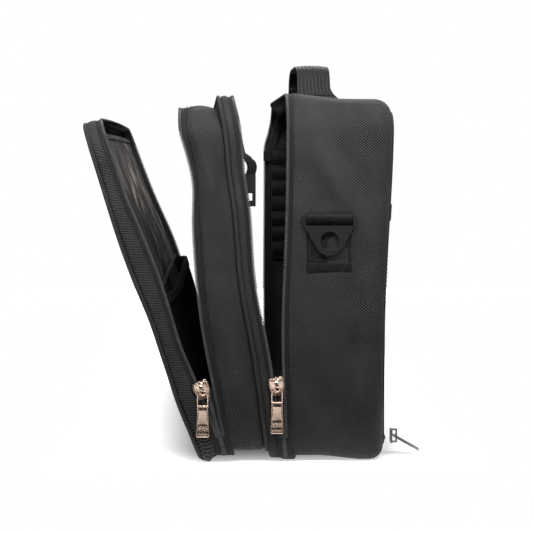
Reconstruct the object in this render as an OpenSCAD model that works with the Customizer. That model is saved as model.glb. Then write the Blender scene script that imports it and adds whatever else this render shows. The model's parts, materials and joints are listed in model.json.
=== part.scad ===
// Soft-sided flight bag, standing open: a main compartment, a lid that holds the front
// compartment, and a front flap. Millimetres. +X is the back of the bag, Y runs along its
// length, +Z is up, and the origin is the middle of the main compartment's base.

/* [Bag] */
// Length of the bag, end to end
bag_len = 420; // [360:5:520]
// Height of the main compartment and of the closed lid
bag_h = 310; // [260:5:380]
// Depth of the main compartment
main_depth = 92; // [70:1:140]
// Depth of the lid, which is the front compartment
lid_depth = 52; // [40:1:70]
// Depth of the front flap
flap_depth = 15; // [12:1:20]
// Radius of the upper corners, seen from the front
corner_r = 30; // [20:1:45]
// Radius of the lower corners, seen from the front
foot_r = 9; // [8:1:14]
// Radius of the back edges of the main compartment
back_r = 13; // [9:1:20]
// Thickness of the padded walls
wall = 4; // [4:0.5:6]
// Thickness of the thin inner panels
panel_t = 2.5; // [2:0.5:3.5]

/* [Opening] */
// Lean of the lid away from the main compartment, in degrees
lid_lean = 7.4; // [4:0.2:12]
// Lean of the flap away from the lid, in degrees
flap_lean = 12.4; // [6:0.2:20]
// Height of the lid's hinge line above the floor
lid_hinge_z = 12; // [12:1:20]
// Extra height of the flap over the closed lid
flap_rise = 4; // [0:1:8]

/* [Zips] */
// Width of one row of zip coil
coil_w = 2.6; // [2.2:0.2:3.4]
// Thickness of the zip coil
coil_t = 2.2; // [1.8:0.1:2.4]
// Gap from a row of coil to the closing plane
row_gap = 1.2; // [1.2:0.1:1.6]
// Visible width of the zip tape with its coil, from the closing plane to the wall
tape_reach = 7.2; // [7.2:0.2:9]
// Thickness of the zip tape
tape_t = 0.8; // [0.6:0.1:1.2]
// Width of a zip slider
slider_w = 13.4; // [11:0.2:13.4]
// Length of a zip slider
slider_len = 15; // [14:0.5:18]
// Height of the sliders above the floor end of their zips
slider_z = 54; // [48:1:90]
// Length of a pull tab, from its hinge to its tip
pull_len = 39; // [32:1:46]
// Width of a pull tab
pull_w = 12; // [11.5:0.5:13]

/* [Straps] */
// Width of the handle and side webbing
web_w = 38; // [30:1:45]
// Thickness of the webbing
web_t = 1.8; // [1.4:0.1:2.4]
// Width of the handle
handle_w = 31; // [28:1:36]
// Height of the handle's arch above the bag
handle_h = 34; // [24:1:45]
// Distance between the handle's feet
handle_len = 140; // [110:5:180]
// Radius of the handle's bends
handle_r = 22; // [14:1:24]
// Height of the ring's bar above the floor
ring_z = 209; // [170:1:230]
// Width of the strap ring across its top
ring_w = 48; // [44:1:56]
// Radius of the ring's hook hole
ring_hole_r = 7.8; // [6:0.1:9]
// Drop from the ring's bar to the middle of its hook hole
ring_drop = 19.6; // [18:0.2:24]
// Thickness of the ring
ring_t = 4; // [3:0.2:4.4]

/* [Hidden] */

$fn = 48;
cloth_black = "#2d2c2e";
web_black = "#39363a";
trim_black = "#1d1d1f";
rose_metal = "#c79a86";
steel_metal = "#9a9896";
clear_film = "#c9c4c4";

half_len = bag_len / 2;
// The zip tape's middle layer sits this far inside the outer surface
tape_in = 1;
// A gap that any two neighbouring bodies keep
gap = 0.4;
// Closing plane between the main compartment and the lid
close_x = -main_depth / 2;
// Width of the lid's rear band, behind the piping
band_w = 15;
piping_r = 1.6;

// In the lid's frame z is measured from its hinge line and x from the closing plane
lid_top = bag_h - lid_hinge_z;
// The flap's hinge line stands one flap depth above the floor while the bag is open
flap_hinge_dz = (flap_depth - lid_hinge_z + lid_depth * sin(lid_lean)) / cos(lid_lean);
lid_bottom = flap_hinge_dz + gap;
flap_top = lid_top - flap_hinge_dz + flap_rise;
band_bottom = -4;

// Lowest ends of the two zips, above their hinge lines
zip_foot = 6;

module lid_frame()
  translate([close_x, 0, lid_hinge_z])
    rotate([0, -lid_lean, 0])
      children();

module flap_frame()
  lid_frame()
    translate([-lid_depth, 0, flap_hinge_dz])
      rotate([0, -flap_lean, 0])
        children();

// Extrudes a drawing in the Y-Z plane from x0 to x1
module along_x(x0, x1)
  translate([x0, 0, 0])
    rotate([90, 0, 90])
      linear_extrude(x1 - x0)
        children();

// Extrudes a drawing in the X-Z plane from y0 to y1
module along_y(y0, y1)
  translate([0, y1, 0])
    rotate([90, 0, 0])
      linear_extrude(y1 - y0)
        children();

module box(low, high)
  translate(low)
    cube(high - low);

// A copy at each end of the bag; the far one is the mirror image
module at_far() mirror([0, 1, 0]) children();

// Outline of the bag from the front, between two heights, taken in by an inset
module outline(z0, z1, inset = 0, top_r = corner_r, low_r = foot_r) {
  w = half_len - inset;
  b = z0 + inset;
  t = z1 - inset;
  r1 = top_r - inset;
  r0 = max(low_r - inset, 0.5);
  translate([-w, b + r0]) square([2 * w, t - r1 - b - r0]);
  translate([-w + r1, t - r1 - 1]) square([2 * (w - r1), r1 + 1]);
  translate([-w + r0, b]) square([2 * (w - r0), r0 + 1]);
  for (side = [-1, 1]) {
    translate([side * (w - r1), t - r1]) circle(r1);
    translate([side * (w - r0), b + r0]) circle(r0);
  }
}

// A band that follows the outline, between two insets
module hoop(z0, z1, outer, inner, low_r = foot_r)
  difference() {
    outline(z0, z1, outer, corner_r, low_r);
    outline(z0, z1, inner, corner_r, low_r);
  }

// A hoop with its lower run cut off at height cut, as a zip has that stops at the floor
module arch_hoop(z0, z1, outer, inner, cut)
  intersection() {
    hoop(z0, z1, outer, inner);
    translate([-bag_len, cut]) square([2 * bag_len, z1 - cut + 1]);
  }

// ---- Main compartment ----

// Solid block of the main compartment, taken in by an inset, with rounded back edges
module main_block(inset) {
  x1 = main_depth / 2 - inset;
  x0 = close_x + tape_reach;
  r = max(back_r - inset, 1);
  w = half_len - inset;
  intersection() {
    along_x(x0, x1) outline(0, bag_h, inset);
    along_y(-w, w) union() {
      translate([x0, -1]) square([x1 - x0 - r, bag_h + 2]);
      translate([x0, inset + r]) square([x1 - x0, bag_h - 2 * inset - 2 * r]);
      translate([x1 - r, inset + r]) circle(r);
      translate([x1 - r, bag_h - inset - r]) circle(r);
    }
    linear_extrude(bag_h) union() {
      translate([x0, -w - 1]) square([x1 - x0 - r, 2 * w + 2]);
      translate([x0, -w + r]) square([x1 - x0, 2 * w - 2 * r]);
      translate([x1 - r, -w + r]) circle(r);
      translate([x1 - r, w - r]) circle(r);
    }
  }
}

module main_shell()
  difference() {
    main_block(0);
    union() {
      main_block(wall);
      along_x(close_x, close_x + tape_reach + 1) outline(0, bag_h, wall);
    }
  }

// The flat of the back panel and the flat of the base are separate pieces of cloth
module back_zone()
  box([main_depth / 2 - wall, -half_len + back_r, back_r],
      [main_depth / 2 + 1, half_len - back_r, bag_h - back_r]);

module base_zone()
  box([close_x, -half_len + foot_r, -1],
      [main_depth / 2 - back_r, half_len - foot_r, wall]);

module main_gusset()
  color(cloth_black)
    difference() {
      main_shell();
      back_zone();
      base_zone();
    }

module back_panel()
  color(cloth_black)
    intersection() {
      main_shell();
      back_zone();
    }

module base_panel()
  color(cloth_black)
    intersection() {
      main_shell();
      base_zone();
    }

board_gap = 3;
module base_board()
  color(trim_black)
    box([close_x + tape_reach + board_gap, -half_len + foot_r + wall, wall],
        [main_depth / 2 - back_r, half_len - foot_r - wall, wall + panel_t]);

// Binding tape that covers the raw edge inside the mouth of the main compartment
binding_w = 3;
binding_t = 1.2;
module rim_binding()
  color(web_black)
    along_x(close_x + tape_reach, close_x + tape_reach + binding_w)
      arch_hoop(0, bag_h, wall, wall + binding_t, lid_hinge_z + zip_foot);

module main_zip_tape()
  color(web_black)
    along_x(close_x + row_gap + coil_w, close_x + tape_reach)
      arch_hoop(0, bag_h, tape_in - tape_t / 2, tape_in + tape_t / 2,
                lid_hinge_z + zip_foot);

module main_zip_coil()
  color(trim_black)
    along_x(close_x + row_gap, close_x + row_gap + coil_w)
      arch_hoop(0, bag_h, tape_in - coil_t / 2, tape_in + coil_t / 2,
                lid_hinge_z + zip_foot);

// Ladder of pen and gear loops sewn inside the far end wall
gear_w = 25;
gear_x = close_x + tape_reach + binding_w + gap + gear_w / 2;
gear_z0 = 140;
gear_pitch = 17.6;
gear_count = 7;
// Depth of a loop, and the sewn bar between two loops
gear_t = 5;
gear_bar = 4;
module gear_loops()
  color(web_black)
    difference() {
      box([gear_x - gear_w / 2, half_len - wall - gear_t, gear_z0],
          [gear_x + gear_w / 2, half_len - wall, gear_z0 + gear_count * gear_pitch + gear_bar]);
      for (i = [0 : gear_count - 1])
        box([gear_x - gear_w, half_len - wall - gear_t + web_t,
             gear_z0 + gear_bar + i * gear_pitch],
            [gear_x + gear_w, half_len - wall - 1, gear_z0 + (i + 1) * gear_pitch]);
    }

// ---- Handle ----

// The handle stands a little forward of the middle of the bag
handle_x = -10;

// Side view of the handle's arch, taken in by an inset; its feet spread onto the bag
module handle_outline(inset) {
  w = handle_len / 2 - inset;
  top = bag_h + web_t + handle_h - inset;
  r = handle_r - inset;
  translate([-w, bag_h + web_t]) square([2 * w, top - r - bag_h - web_t]);
  translate([-w + r, top - r - 1]) square([2 * (w - r), r + 1]);
  for (side = [-1, 1])
    translate([side * (w - r), top - r]) circle(r);
}

handle_t = 2.4;
module handle_strap()
  color(web_black)
    along_x(handle_x - handle_w / 2, handle_x + handle_w / 2)
      intersection() {
        difference() {
          handle_outline(0);
          handle_outline(handle_t);
        }
        translate([-handle_len, bag_h + web_t]) square([2 * handle_len, handle_h + 1]);
      }

// Sewn feet of the handle, flat on the top of the bag, where the webbing is full width
patch_len = 46;
patch_front = 1;
patch_back = 8;
patch_y = (handle_len - handle_t) / 2;
module handle_patches()
  color(web_black)
    for (side = [-1, 1])
      box([handle_x - handle_w / 2 - patch_front, side * patch_y - patch_len / 2, bag_h],
          [handle_x + handle_w / 2 + patch_back, side * patch_y + patch_len / 2,
           bag_h + web_t]);

// Folded grip sewn under the crown of the handle
wrap_len = 72;
wrap_in = 2;
wrap_t = 2;
wrap_top = bag_h + web_t + handle_h - handle_t;
module handle_wrap()
  color(cloth_black)
    box([handle_x - handle_w / 2 + wrap_in, -wrap_len / 2, wrap_top - wrap_t],
        [handle_x + handle_w / 2 - wrap_in, wrap_len / 2, wrap_top]);

// ---- Strap rings ----

// Half the height of the ring's bar, which sets the fold of webbing round it
ring_bar = 1.7;
fold_room = 0.3;
fold_t = 1.4;
loop_in_r = norm([ring_t / 2, ring_bar]) + fold_room;
loop_out_r = loop_in_r + fold_t;
ring_x = -9;
ring_y = -half_len - loop_out_r;
patch_drop = 45;

module ring_strap()
  color(web_black)
    union() {
      translate([ring_x - web_w / 2, ring_y, ring_z])
        rotate([0, 90, 0])
          difference() {
            cylinder(r = loop_out_r, h = web_w);
            translate([0, 0, -1]) cylinder(r = loop_in_r, h = web_w + 2);
          }
      difference() {
        box([ring_x - web_w / 2, -half_len - web_t, ring_z - patch_drop],
            [ring_x + web_w / 2, -half_len, ring_z + loop_out_r]);
        translate([ring_x - web_w, ring_y, ring_z])
          rotate([0, 90, 0])
            cylinder(r = (loop_in_r + loop_out_r) / 2, h = 2 * web_w);
      }
    }

module ring_strap_near() ring_strap();
module ring_strap_far() at_far() ring_strap();

// Triangular ring: a bar for the webbing, a slot under it and a round hook hole
ring_slot = 5.1;
ring_side_gap = 0.8;
ring_corner = 3.2;
ring_rim = 4.6;
ring_tip_r = ring_hole_r + ring_rim;
module ring_plate()
  difference() {
    hull() {
      for (side = [-1, 1])
        translate([side * (ring_w / 2 - ring_corner), ring_bar - ring_corner])
          circle(ring_corner, $fn = 32);
      translate([0, -ring_drop]) circle(ring_tip_r, $fn = 32);
    }
    translate([-web_w / 2 - ring_side_gap, -ring_bar - ring_slot])
      square([web_w + 2 * ring_side_gap, ring_slot]);
    translate([0, -ring_drop]) circle(ring_hole_r);
  }

module ring()
  color(trim_black)
    translate([ring_x, 0, ring_z])
      along_y(ring_y - ring_t / 2, ring_y + ring_t / 2)
        ring_plate();

module ring_near() ring();
module ring_far() at_far() ring();

// ---- Back pocket, a sleeve with a zip along its foot ----

pocket_z0 = 24;
pocket_z1 = 211;
pocket_in = 16;
pocket_t = 1.6;
back_x = main_depth / 2;

module back_pocket()
  color(cloth_black)
    box([back_x, -half_len + pocket_in, pocket_z0],
        [back_x + pocket_t, half_len - pocket_in, pocket_z1]);

hem_t = 2.4;
hem_h = 8;
module back_pocket_hem()
  color(web_black)
    box([back_x, -half_len + pocket_in, pocket_z1],
        [back_x + hem_t, half_len - pocket_in, pocket_z1 + hem_h]);

back_zip_z = 17;
back_tape_t = 1.4;
back_tape_w = 8;
module back_zip_tape()
  color(trim_black)
    box([back_x, -half_len + pocket_in, back_zip_z - back_tape_w / 2],
        [back_x + back_tape_t, half_len - pocket_in, back_zip_z + back_tape_w / 2]);

// Small slider on the face of that zip, with its bridge upright
back_slider_y = -half_len + pocket_in + 8;
back_plate_x = back_x + back_tape_t + gap;
back_plate_t = 1.2;
back_plate_w = 10;
back_plate_h = 12;
back_bridge_w = 3.2;
back_tunnel = 3.4;
back_bridge_t = 1.2;
back_bar_r = 0.8;
back_bar_x = back_plate_x + back_plate_t + back_tunnel / 2;
back_bridge_x = back_plate_x + back_plate_t + back_tunnel;
module back_slider()
  color(steel_metal)
    translate([0, back_slider_y, back_zip_z])
      union() {
        box([back_plate_x, -back_plate_w / 2, -back_plate_h / 2],
            [back_plate_x + back_plate_t, back_plate_w / 2, back_plate_h / 2]);
        for (z = [-back_plate_h / 2, back_plate_h / 2 - back_bridge_t])
          box([back_plate_x, -back_bridge_w / 2, z],
              [back_bridge_x + back_bridge_t, back_bridge_w / 2, z + back_bridge_t]);
        box([back_bridge_x, -back_bridge_w / 2, -back_plate_h / 2],
            [back_bridge_x + back_bridge_t, back_bridge_w / 2, back_plate_h / 2]);
      }

// The pull stands out from the back of the bag, tilted from upright
back_pull_len = 25;
back_pull_w = 9;
back_pull_tilt = 60;
back_arm = 1.4;
back_arm_y = back_pull_w / 2 - 0.5;
back_neck = 9;
module back_pull()
  color(steel_metal)
    translate([back_bar_x, back_slider_y, back_zip_z])
      rotate([0, -back_pull_tilt, 0])
        union() {
          translate([0, -back_arm_y, 0])
            rotate([-90, 0, 0])
              cylinder(r = back_bar_r, h = 2 * back_arm_y);
          for (y = [-back_arm_y, back_arm_y - back_arm])
            box([-back_bar_r, y, -back_neck], [back_bar_r, y + back_arm, 0]);
          box([-back_bar_r, -back_pull_w / 2, -back_pull_len],
              [back_bar_r, back_pull_w / 2, -back_neck]);
        }

// Small cloth tab on the mouth of the main compartment, at the far end
tab_drop = 57;
tab_h = 12;
tab_t = 1.4;
module rim_tab()
  color(web_black)
    box([close_x + row_gap, half_len - wall - binding_t - tab_t, bag_h - tab_drop],
        [close_x + tape_reach + binding_w, half_len - wall - binding_t,
         bag_h - tab_drop + tab_h]);

// Cloth strip that joins the lid to the foot of the main compartment
strip_reach = 12;
strip_in = 6;
strip_z = 1;
strip_t = 1.6;
module lid_hinge_strip()
  color(cloth_black)
    box([close_x - strip_reach, -half_len + foot_r + strip_in, strip_z],
        [close_x + tape_reach, half_len - foot_r - strip_in, strip_z + strip_t]);

// ---- Lid with the front compartment ----

module lid_gusset()
  color(cloth_black)
    lid_frame()
      along_x(-lid_depth + tape_reach, -band_w - piping_r)
        hoop(lid_bottom, lid_top, 0, wall);

module lid_band()
  color(cloth_black)
    lid_frame()
      along_x(-band_w + piping_r, -tape_reach)
        hoop(band_bottom, lid_top, 0, wall - 1);

// Wall between the lid's front compartment and the main compartment
module lid_divider()
  color(cloth_black)
    lid_frame()
      along_x(-band_w - piping_r, -band_w + piping_r)
        outline(lid_bottom, lid_top, wall - 1);

// Piping that stands proud along the seam between the gusset and the band
module lid_piping()
  color(web_black)
    lid_frame()
      along_x(-band_w - piping_r, -band_w + piping_r)
        arch_hoop(lid_bottom, lid_top, -1, wall - 1, lid_bottom + foot_r);

module lid_zip_row(x0, x1, t, foot)
  lid_frame()
    along_x(x0, x1)
      arch_hoop(band_bottom, lid_top, tape_in - t / 2, tape_in + t / 2, foot);

module lid_zip_tape()
  color(web_black)
    lid_zip_row(-tape_reach, -row_gap - coil_w, tape_t, zip_foot);

module lid_zip_coil()
  color(trim_black)
    lid_zip_row(-row_gap - coil_w, -row_gap, coil_t, zip_foot);

front_foot = flap_hinge_dz + zip_foot;
module front_zip_tape()
  color(web_black)
    lid_zip_row(-lid_depth + row_gap + coil_w, -lid_depth + tape_reach, tape_t, front_foot);

module front_zip_coil()
  color(trim_black)
    lid_zip_row(-lid_depth + row_gap, -lid_depth + row_gap + coil_w, coil_t, front_foot);

// Small cloth tab at the mouth of the lid
lid_tab_in = 10;
lid_tab_w = 10;
lid_tab_t = 2.4;
lid_tab_drop = 14;
lid_tab_h = 26;
module lid_tab()
  color(web_black)
    lid_frame()
      translate([-tape_reach, -half_len + lid_tab_in, lid_top - lid_tab_drop - lid_tab_h])
        cube([lid_tab_t, lid_tab_w, lid_tab_h]);

// Webbing that carries the socket of the inner side-release buckle out of the lid
buckle_w = 25;
buckle_in = 3.5;
buckle_y = -half_len + wall + buckle_in + buckle_w / 2;
buckle_x = 1.5;
buckle_drop = 63;
buckle_z = lid_top - buckle_drop;
strap_w = 19;
strap_root = 27;
strap_foot = 4;
strap_bend = 8;
strap_x = -band_w + piping_r;
module buckle_strap()
  color(web_black)
    lid_frame()
      along_y(buckle_y - strap_w / 2, buckle_y + strap_w / 2)
        polygon([
          [strap_x, buckle_z + strap_root],
          [strap_x + web_t, buckle_z + strap_root],
          [buckle_x + web_t / 2, buckle_z + strap_bend],
          [buckle_x + web_t / 2, buckle_z + gap],
          [buckle_x - web_t / 2, buckle_z + gap],
          [buckle_x - web_t / 2, buckle_z + strap_bend - 1],
          [strap_x, buckle_z + strap_root - strap_foot]]);

// The socket hangs plumb from its webbing, with its mouth down
buckle_len = 27;
buckle_t = 9;
buckle_wall = 2;
// Drops from the socket's top to its cavity, its strap slot and its side windows
cavity_drop = 8;
slot_drop = [2.5, 4.5];
window_drop = [16, 23];
cavity_x = buckle_t / 2 - buckle_wall;
module buckle_socket()
  color(trim_black)
    lid_frame()
      translate([buckle_x, buckle_y, buckle_z])
        rotate([0, lid_lean, 0])
          translate([0, 0, -gap])
            difference() {
              box([-buckle_t / 2, -buckle_w / 2, -buckle_len],
                  [buckle_t / 2, buckle_w / 2, 0]);
              box([-cavity_x, -buckle_w / 2 + buckle_wall, -buckle_len - 1],
                  [cavity_x, buckle_w / 2 - buckle_wall, -cavity_drop]);
              box([-cavity_x, -buckle_w, -window_drop[1]], [cavity_x, buckle_w, -window_drop[0]]);
              box([-buckle_t, -strap_w / 2, -slot_drop[1]],
                  [buckle_t, strap_w / 2, -slot_drop[0]]);
            }

// ---- Front flap ----

flap_low = 1;
module flap_panel()
  color(cloth_black)
    flap_frame()
      along_x(-flap_depth, -flap_depth + panel_t)
        outline(flap_low, flap_top);

module flap_band()
  color(cloth_black)
    flap_frame()
      along_x(-flap_depth + panel_t, -tape_reach)
        arch_hoop(flap_low, flap_top, 0, panel_t, flap_low + foot_r);

flap_piping_w = 2;
flap_piping_t = 1.4;
module flap_piping()
  color(web_black)
    flap_frame()
      along_x(-flap_depth, -flap_depth + flap_piping_w)
        arch_hoop(flap_low, flap_top, -flap_piping_t, 0, flap_low + foot_r);

module flap_zip_row(x0, x1, t)
  flap_frame()
    along_x(x0, x1)
      arch_hoop(flap_low, flap_top, tape_in - t / 2, tape_in + t / 2, zip_foot);

module flap_zip_tape()
  color(web_black)
    flap_zip_row(-tape_reach, -row_gap - coil_w, tape_t);

module flap_zip_coil()
  color(trim_black)
    flap_zip_row(-row_gap - coil_w, -row_gap, coil_t);

// The lining lies on the panel, and the pockets are sewn to it
lining_t = 0.8;
lining_lift = 4;
lining_x = -flap_depth + panel_t + lining_t;
module flap_lining()
  color(trim_black)
    flap_frame()
      along_x(lining_x - lining_t, lining_x)
        outline(flap_low + lining_lift, flap_top, panel_t);

// Clear film pocket over the upper half of the flap, open at its top
pocket_side = 8;
clear_z0 = 138;
clear_drop = 16;
film_t = 0.6;
film_seam = 1.2;
pocket_room = 4.4;
module clear_pocket()
  color(clear_film)
    flap_frame()
      difference() {
        box([lining_x, -half_len + pocket_side, clear_z0],
            [lining_x + pocket_room + film_t, half_len - pocket_side,
             flap_top - clear_drop - corner_r / 2]);
        box([lining_x - lining_t, -half_len + pocket_side + film_seam, clear_z0 + film_seam],
            [lining_x + pocket_room, half_len - pocket_side - film_seam, flap_top]);
      }

// Gathered pocket over the lower half of the flap, open at its top, with a full belly
gather_room = 13;
gather_t = 1.6;
gather_z0 = 12;
gather_drop = 2;
module pleated_pocket()
  color(trim_black)
    flap_frame()
      difference() {
        box([lining_x, -half_len + pocket_side, gather_z0],
            [lining_x + gather_room + gather_t, half_len - pocket_side, clear_z0 - gather_drop]);
        box([lining_x - lining_t, -half_len + pocket_side + gather_t, gather_z0 + gather_t],
            [lining_x + gather_room, half_len - pocket_side - gather_t, clear_z0]);
      }

// Rounded foot of the flap, which rolls on the floor about the flap's hinge line
module flap_fold()
  color(cloth_black)
    flap_frame()
      along_y(-half_len + foot_r, half_len - foot_r)
        intersection() {
          difference() {
            circle(flap_depth);
            circle(flap_depth - panel_t);
          }
          translate([-flap_depth, -flap_depth]) square([flap_depth, flap_depth + flap_low]);
        }

// ---- Zip sliders and pulls ----

plate_t = 1.2;
channel = 3.6;
bridge_w = 3;
bridge_h = 5;
bridge_post = 1.5;
bridge_t = 1.3;
bridge_foot = -4.2;
bridge_top = slider_len / 2 - 0.5;
bar_out = 1.8;
bar_y = -channel / 2 - plate_t - bar_out;
bar_r = 0.9;
bar_dz = -1;

// A slider centred on the closing line at a near end, with its face towards -Y
module slider_body() {
  post_w = 2 * row_gap - gap;
  post_h = 4;
  top = slider_len / 2;
  for (side = [-1, 1])
    box([-slider_w / 2, side * (channel + plate_t) / 2 - plate_t / 2, -top],
        [slider_w / 2, side * (channel + plate_t) / 2 + plate_t / 2, top]);
  box([-post_w / 2, -channel / 2, top - 1 - post_h], [post_w / 2, channel / 2, top - 1]);
  outer = -channel / 2 - plate_t;
  for (z = [bridge_foot, bridge_top - bridge_post])
    box([-bridge_w / 2, outer - bridge_h, z], [bridge_w / 2, outer, z + bridge_post]);
  box([-bridge_w / 2, outer - bridge_h, bridge_foot],
      [bridge_w / 2, outer - bridge_h + bridge_t, bridge_top]);
}

// A pull tab hanging straight down from the middle of its bar
module pull_tab() {
  arm = 1.6;
  neck = 12;
  rim = 2;
  sunk = 0.6;
  half_bar = pull_w / 2 - 1;
  rotate([0, 90, 0]) translate([0, 0, -half_bar]) cylinder(r = bar_r, h = 2 * half_bar);
  for (x = [-half_bar, half_bar - arm])
    box([x, -bar_r, -neck], [x + arm, bar_r, 0]);
  difference() {
    box([-pull_w / 2, -bar_r, -pull_len], [pull_w / 2, bar_r, -neck]);
    box([-pull_w / 2 + rim, -bar_r - 1, -pull_len + 2.5 * rim],
        [pull_w / 2 - rim, -bar_r + sunk, -neck - 1.5 * rim]);
  }
}

module main_slider()
  color(rose_metal)
    lid_frame()
      translate([0, -half_len + tape_in, slider_z])
        slider_body();

// The pull hangs upright from the tilted slider, so it is turned back by the lean
module main_pull()
  color(rose_metal)
    lid_frame()
      translate([0, -half_len + tape_in + bar_y, slider_z + bar_dz])
        rotate([0, lid_lean, 0])
          pull_tab();

front_slider_drop = 3;
front_slider_z = slider_z - front_slider_drop;
module front_slider()
  color(rose_metal)
    flap_frame()
      translate([0, -half_len + tape_in, front_slider_z])
        slider_body();

module front_pull()
  color(rose_metal)
    flap_frame()
      translate([0, -half_len + tape_in + bar_y, front_slider_z + bar_dz])
        rotate([0, lid_lean + flap_lean, 0])
          pull_tab();

module main_slider_near() main_slider();
module main_slider_far() at_far() main_slider();
module main_pull_near() main_pull();
module main_pull_far() at_far() main_pull();
module front_slider_near() front_slider();
module front_slider_far() at_far() front_slider();
module front_pull_near() front_pull();
module front_pull_far() at_far() front_pull();

main_gusset();
back_panel();
base_panel();
base_board();
rim_binding();
main_zip_tape();
main_zip_coil();
gear_loops();
handle_strap();
handle_patches();
handle_wrap();
ring_strap_near();
ring_strap_far();
ring_near();
ring_far();
back_pocket();
back_pocket_hem();
back_zip_tape();
back_slider();
back_pull();
rim_tab();
lid_hinge_strip();
lid_gusset();
lid_band();
lid_divider();
lid_piping();
lid_zip_tape();
lid_zip_coil();
front_zip_tape();
front_zip_coil();
lid_tab();
buckle_strap();
buckle_socket();
flap_panel();
flap_band();
flap_piping();
flap_zip_tape();
flap_zip_coil();
flap_lining();
clear_pocket();
pleated_pocket();
flap_fold();
main_slider_near();
main_slider_far();
main_pull_near();
main_pull_far();
front_slider_near();
front_slider_far();
front_pull_near();
front_pull_far();
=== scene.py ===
import math
import bpy
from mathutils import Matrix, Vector, noise
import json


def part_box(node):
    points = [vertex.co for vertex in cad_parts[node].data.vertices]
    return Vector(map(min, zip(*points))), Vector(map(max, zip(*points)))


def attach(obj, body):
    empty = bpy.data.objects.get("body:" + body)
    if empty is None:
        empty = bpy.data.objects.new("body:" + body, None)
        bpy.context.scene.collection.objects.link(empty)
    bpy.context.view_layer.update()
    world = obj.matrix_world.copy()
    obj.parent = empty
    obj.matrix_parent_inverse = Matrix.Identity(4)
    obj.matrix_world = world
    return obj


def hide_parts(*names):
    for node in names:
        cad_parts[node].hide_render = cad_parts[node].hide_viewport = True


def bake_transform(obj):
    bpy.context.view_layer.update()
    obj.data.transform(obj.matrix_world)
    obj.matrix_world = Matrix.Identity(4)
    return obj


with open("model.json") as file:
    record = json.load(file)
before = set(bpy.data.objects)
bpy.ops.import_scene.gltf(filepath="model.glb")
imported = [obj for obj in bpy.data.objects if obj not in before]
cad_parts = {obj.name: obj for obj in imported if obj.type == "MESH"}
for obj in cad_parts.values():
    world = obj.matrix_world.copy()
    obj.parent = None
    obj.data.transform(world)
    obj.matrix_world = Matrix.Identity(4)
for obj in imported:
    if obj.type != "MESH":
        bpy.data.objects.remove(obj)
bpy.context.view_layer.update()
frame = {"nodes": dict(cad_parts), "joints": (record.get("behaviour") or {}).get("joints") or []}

# ---- Studio ----
# A white floor with one soft light high in front, weak panels at the sides and behind,
# and the camera level with the middle of the bag, a little to the left of its open end.
camera_data = bpy.data.cameras.new("studio_camera")
camera_data.lens = 88.8
camera_data.sensor_width = 36
camera_data.clip_end = 20
camera = bpy.data.objects.new("studio_camera", camera_data)
camera.location = (-0.1146, -1.310, 0.2655)
camera.rotation_euler = (math.radians(90 - 5.08), 0, math.radians(-2.76))
bpy.context.collection.objects.link(camera)
bpy.context.scene.camera = camera


def softbox(name, place, aim, size, power):
    """A rectangular studio light at a place, turned to face a point."""
    data = bpy.data.lights.new(name, "AREA")
    data.shape = "RECTANGLE"
    data.size, data.size_y = size
    data.energy = power
    lamp = bpy.data.objects.new(name, data)
    lamp.location = place
    lamp.rotation_euler = (Vector(aim) - Vector(place)).to_track_quat("-Z", "Y").to_euler()
    bpy.context.collection.objects.link(lamp)


middle = (-0.06, 0, 0.16)
softbox("overhead", (-0.05, -0.95, 1.00), (-0.06, 0, 0.34), (1.1, 0.5), 33)
softbox("left_panel", (-1.5, -0.9, 1.1), middle, (0.5, 0.8), 7)
softbox("right_panel", (1.4, -0.9, 1.1), middle, (0.5, 0.8), 6)
softbox("back_panel_light", (0.3, 1.7, 1.1), middle, (1.0, 0.8), 7)
sky = bpy.data.worlds.new("studio_white")
sky.use_nodes = True
tree = sky.node_tree
soft, seen = tree.nodes["Background"], tree.nodes.new("ShaderNodeBackground")
soft.inputs["Color"].default_value = (1, 1, 1, 1)
height = tree.nodes.new("ShaderNodeSeparateXYZ")
tree.links.new(tree.nodes.new("ShaderNodeTexCoord").outputs["Generated"], height.inputs[0])
fade = tree.nodes.new("ShaderNodeMapRange")
tree.links.new(height.outputs["Z"], fade.inputs["Value"])
for key, value in (("From Min", -0.15), ("From Max", 0.35), ("To Min", 0.04), ("To Max", 0.36)):
    fade.inputs[key].default_value = value
tree.links.new(fade.outputs["Result"], soft.inputs["Strength"])
seen.inputs["Strength"].default_value = 1.25
which = tree.nodes.new("ShaderNodeMixShader")
tree.links.new(tree.nodes.new("ShaderNodeLightPath").outputs["Is Camera Ray"], which.inputs[0])
tree.links.new(soft.outputs[0], which.inputs[1])
tree.links.new(seen.outputs[0], which.inputs[2])
tree.links.new(which.outputs[0], tree.nodes["World Output"].inputs["Surface"])
bpy.context.scene.world = sky
bpy.context.scene.view_settings.view_transform = "Standard"


def mesh_piece(name, verts, faces, material):
    """A new object with one mesh and one material."""
    mesh = bpy.data.meshes.new(name)
    mesh.from_pydata(verts, [], faces)
    mesh.materials.append(material)
    mesh.polygons.foreach_set("use_smooth", [True] * len(mesh.polygons))
    piece = bpy.data.objects.new(name, mesh)
    bpy.context.collection.objects.link(piece)
    return piece


def black_card(name, corners):
    """A black board, unseen by the camera, that takes light away from one side."""
    velvet = bpy.data.materials.new(name)
    velvet.use_nodes = True
    shader = velvet.node_tree.nodes["Principled BSDF"]
    shader.inputs["Base Color"].default_value = (0, 0, 0, 1)
    shader.inputs["Specular IOR Level"].default_value = 0
    card = mesh_piece(name, corners, [(0, 1, 2, 3)], velvet)
    card.visible_camera = False


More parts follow.
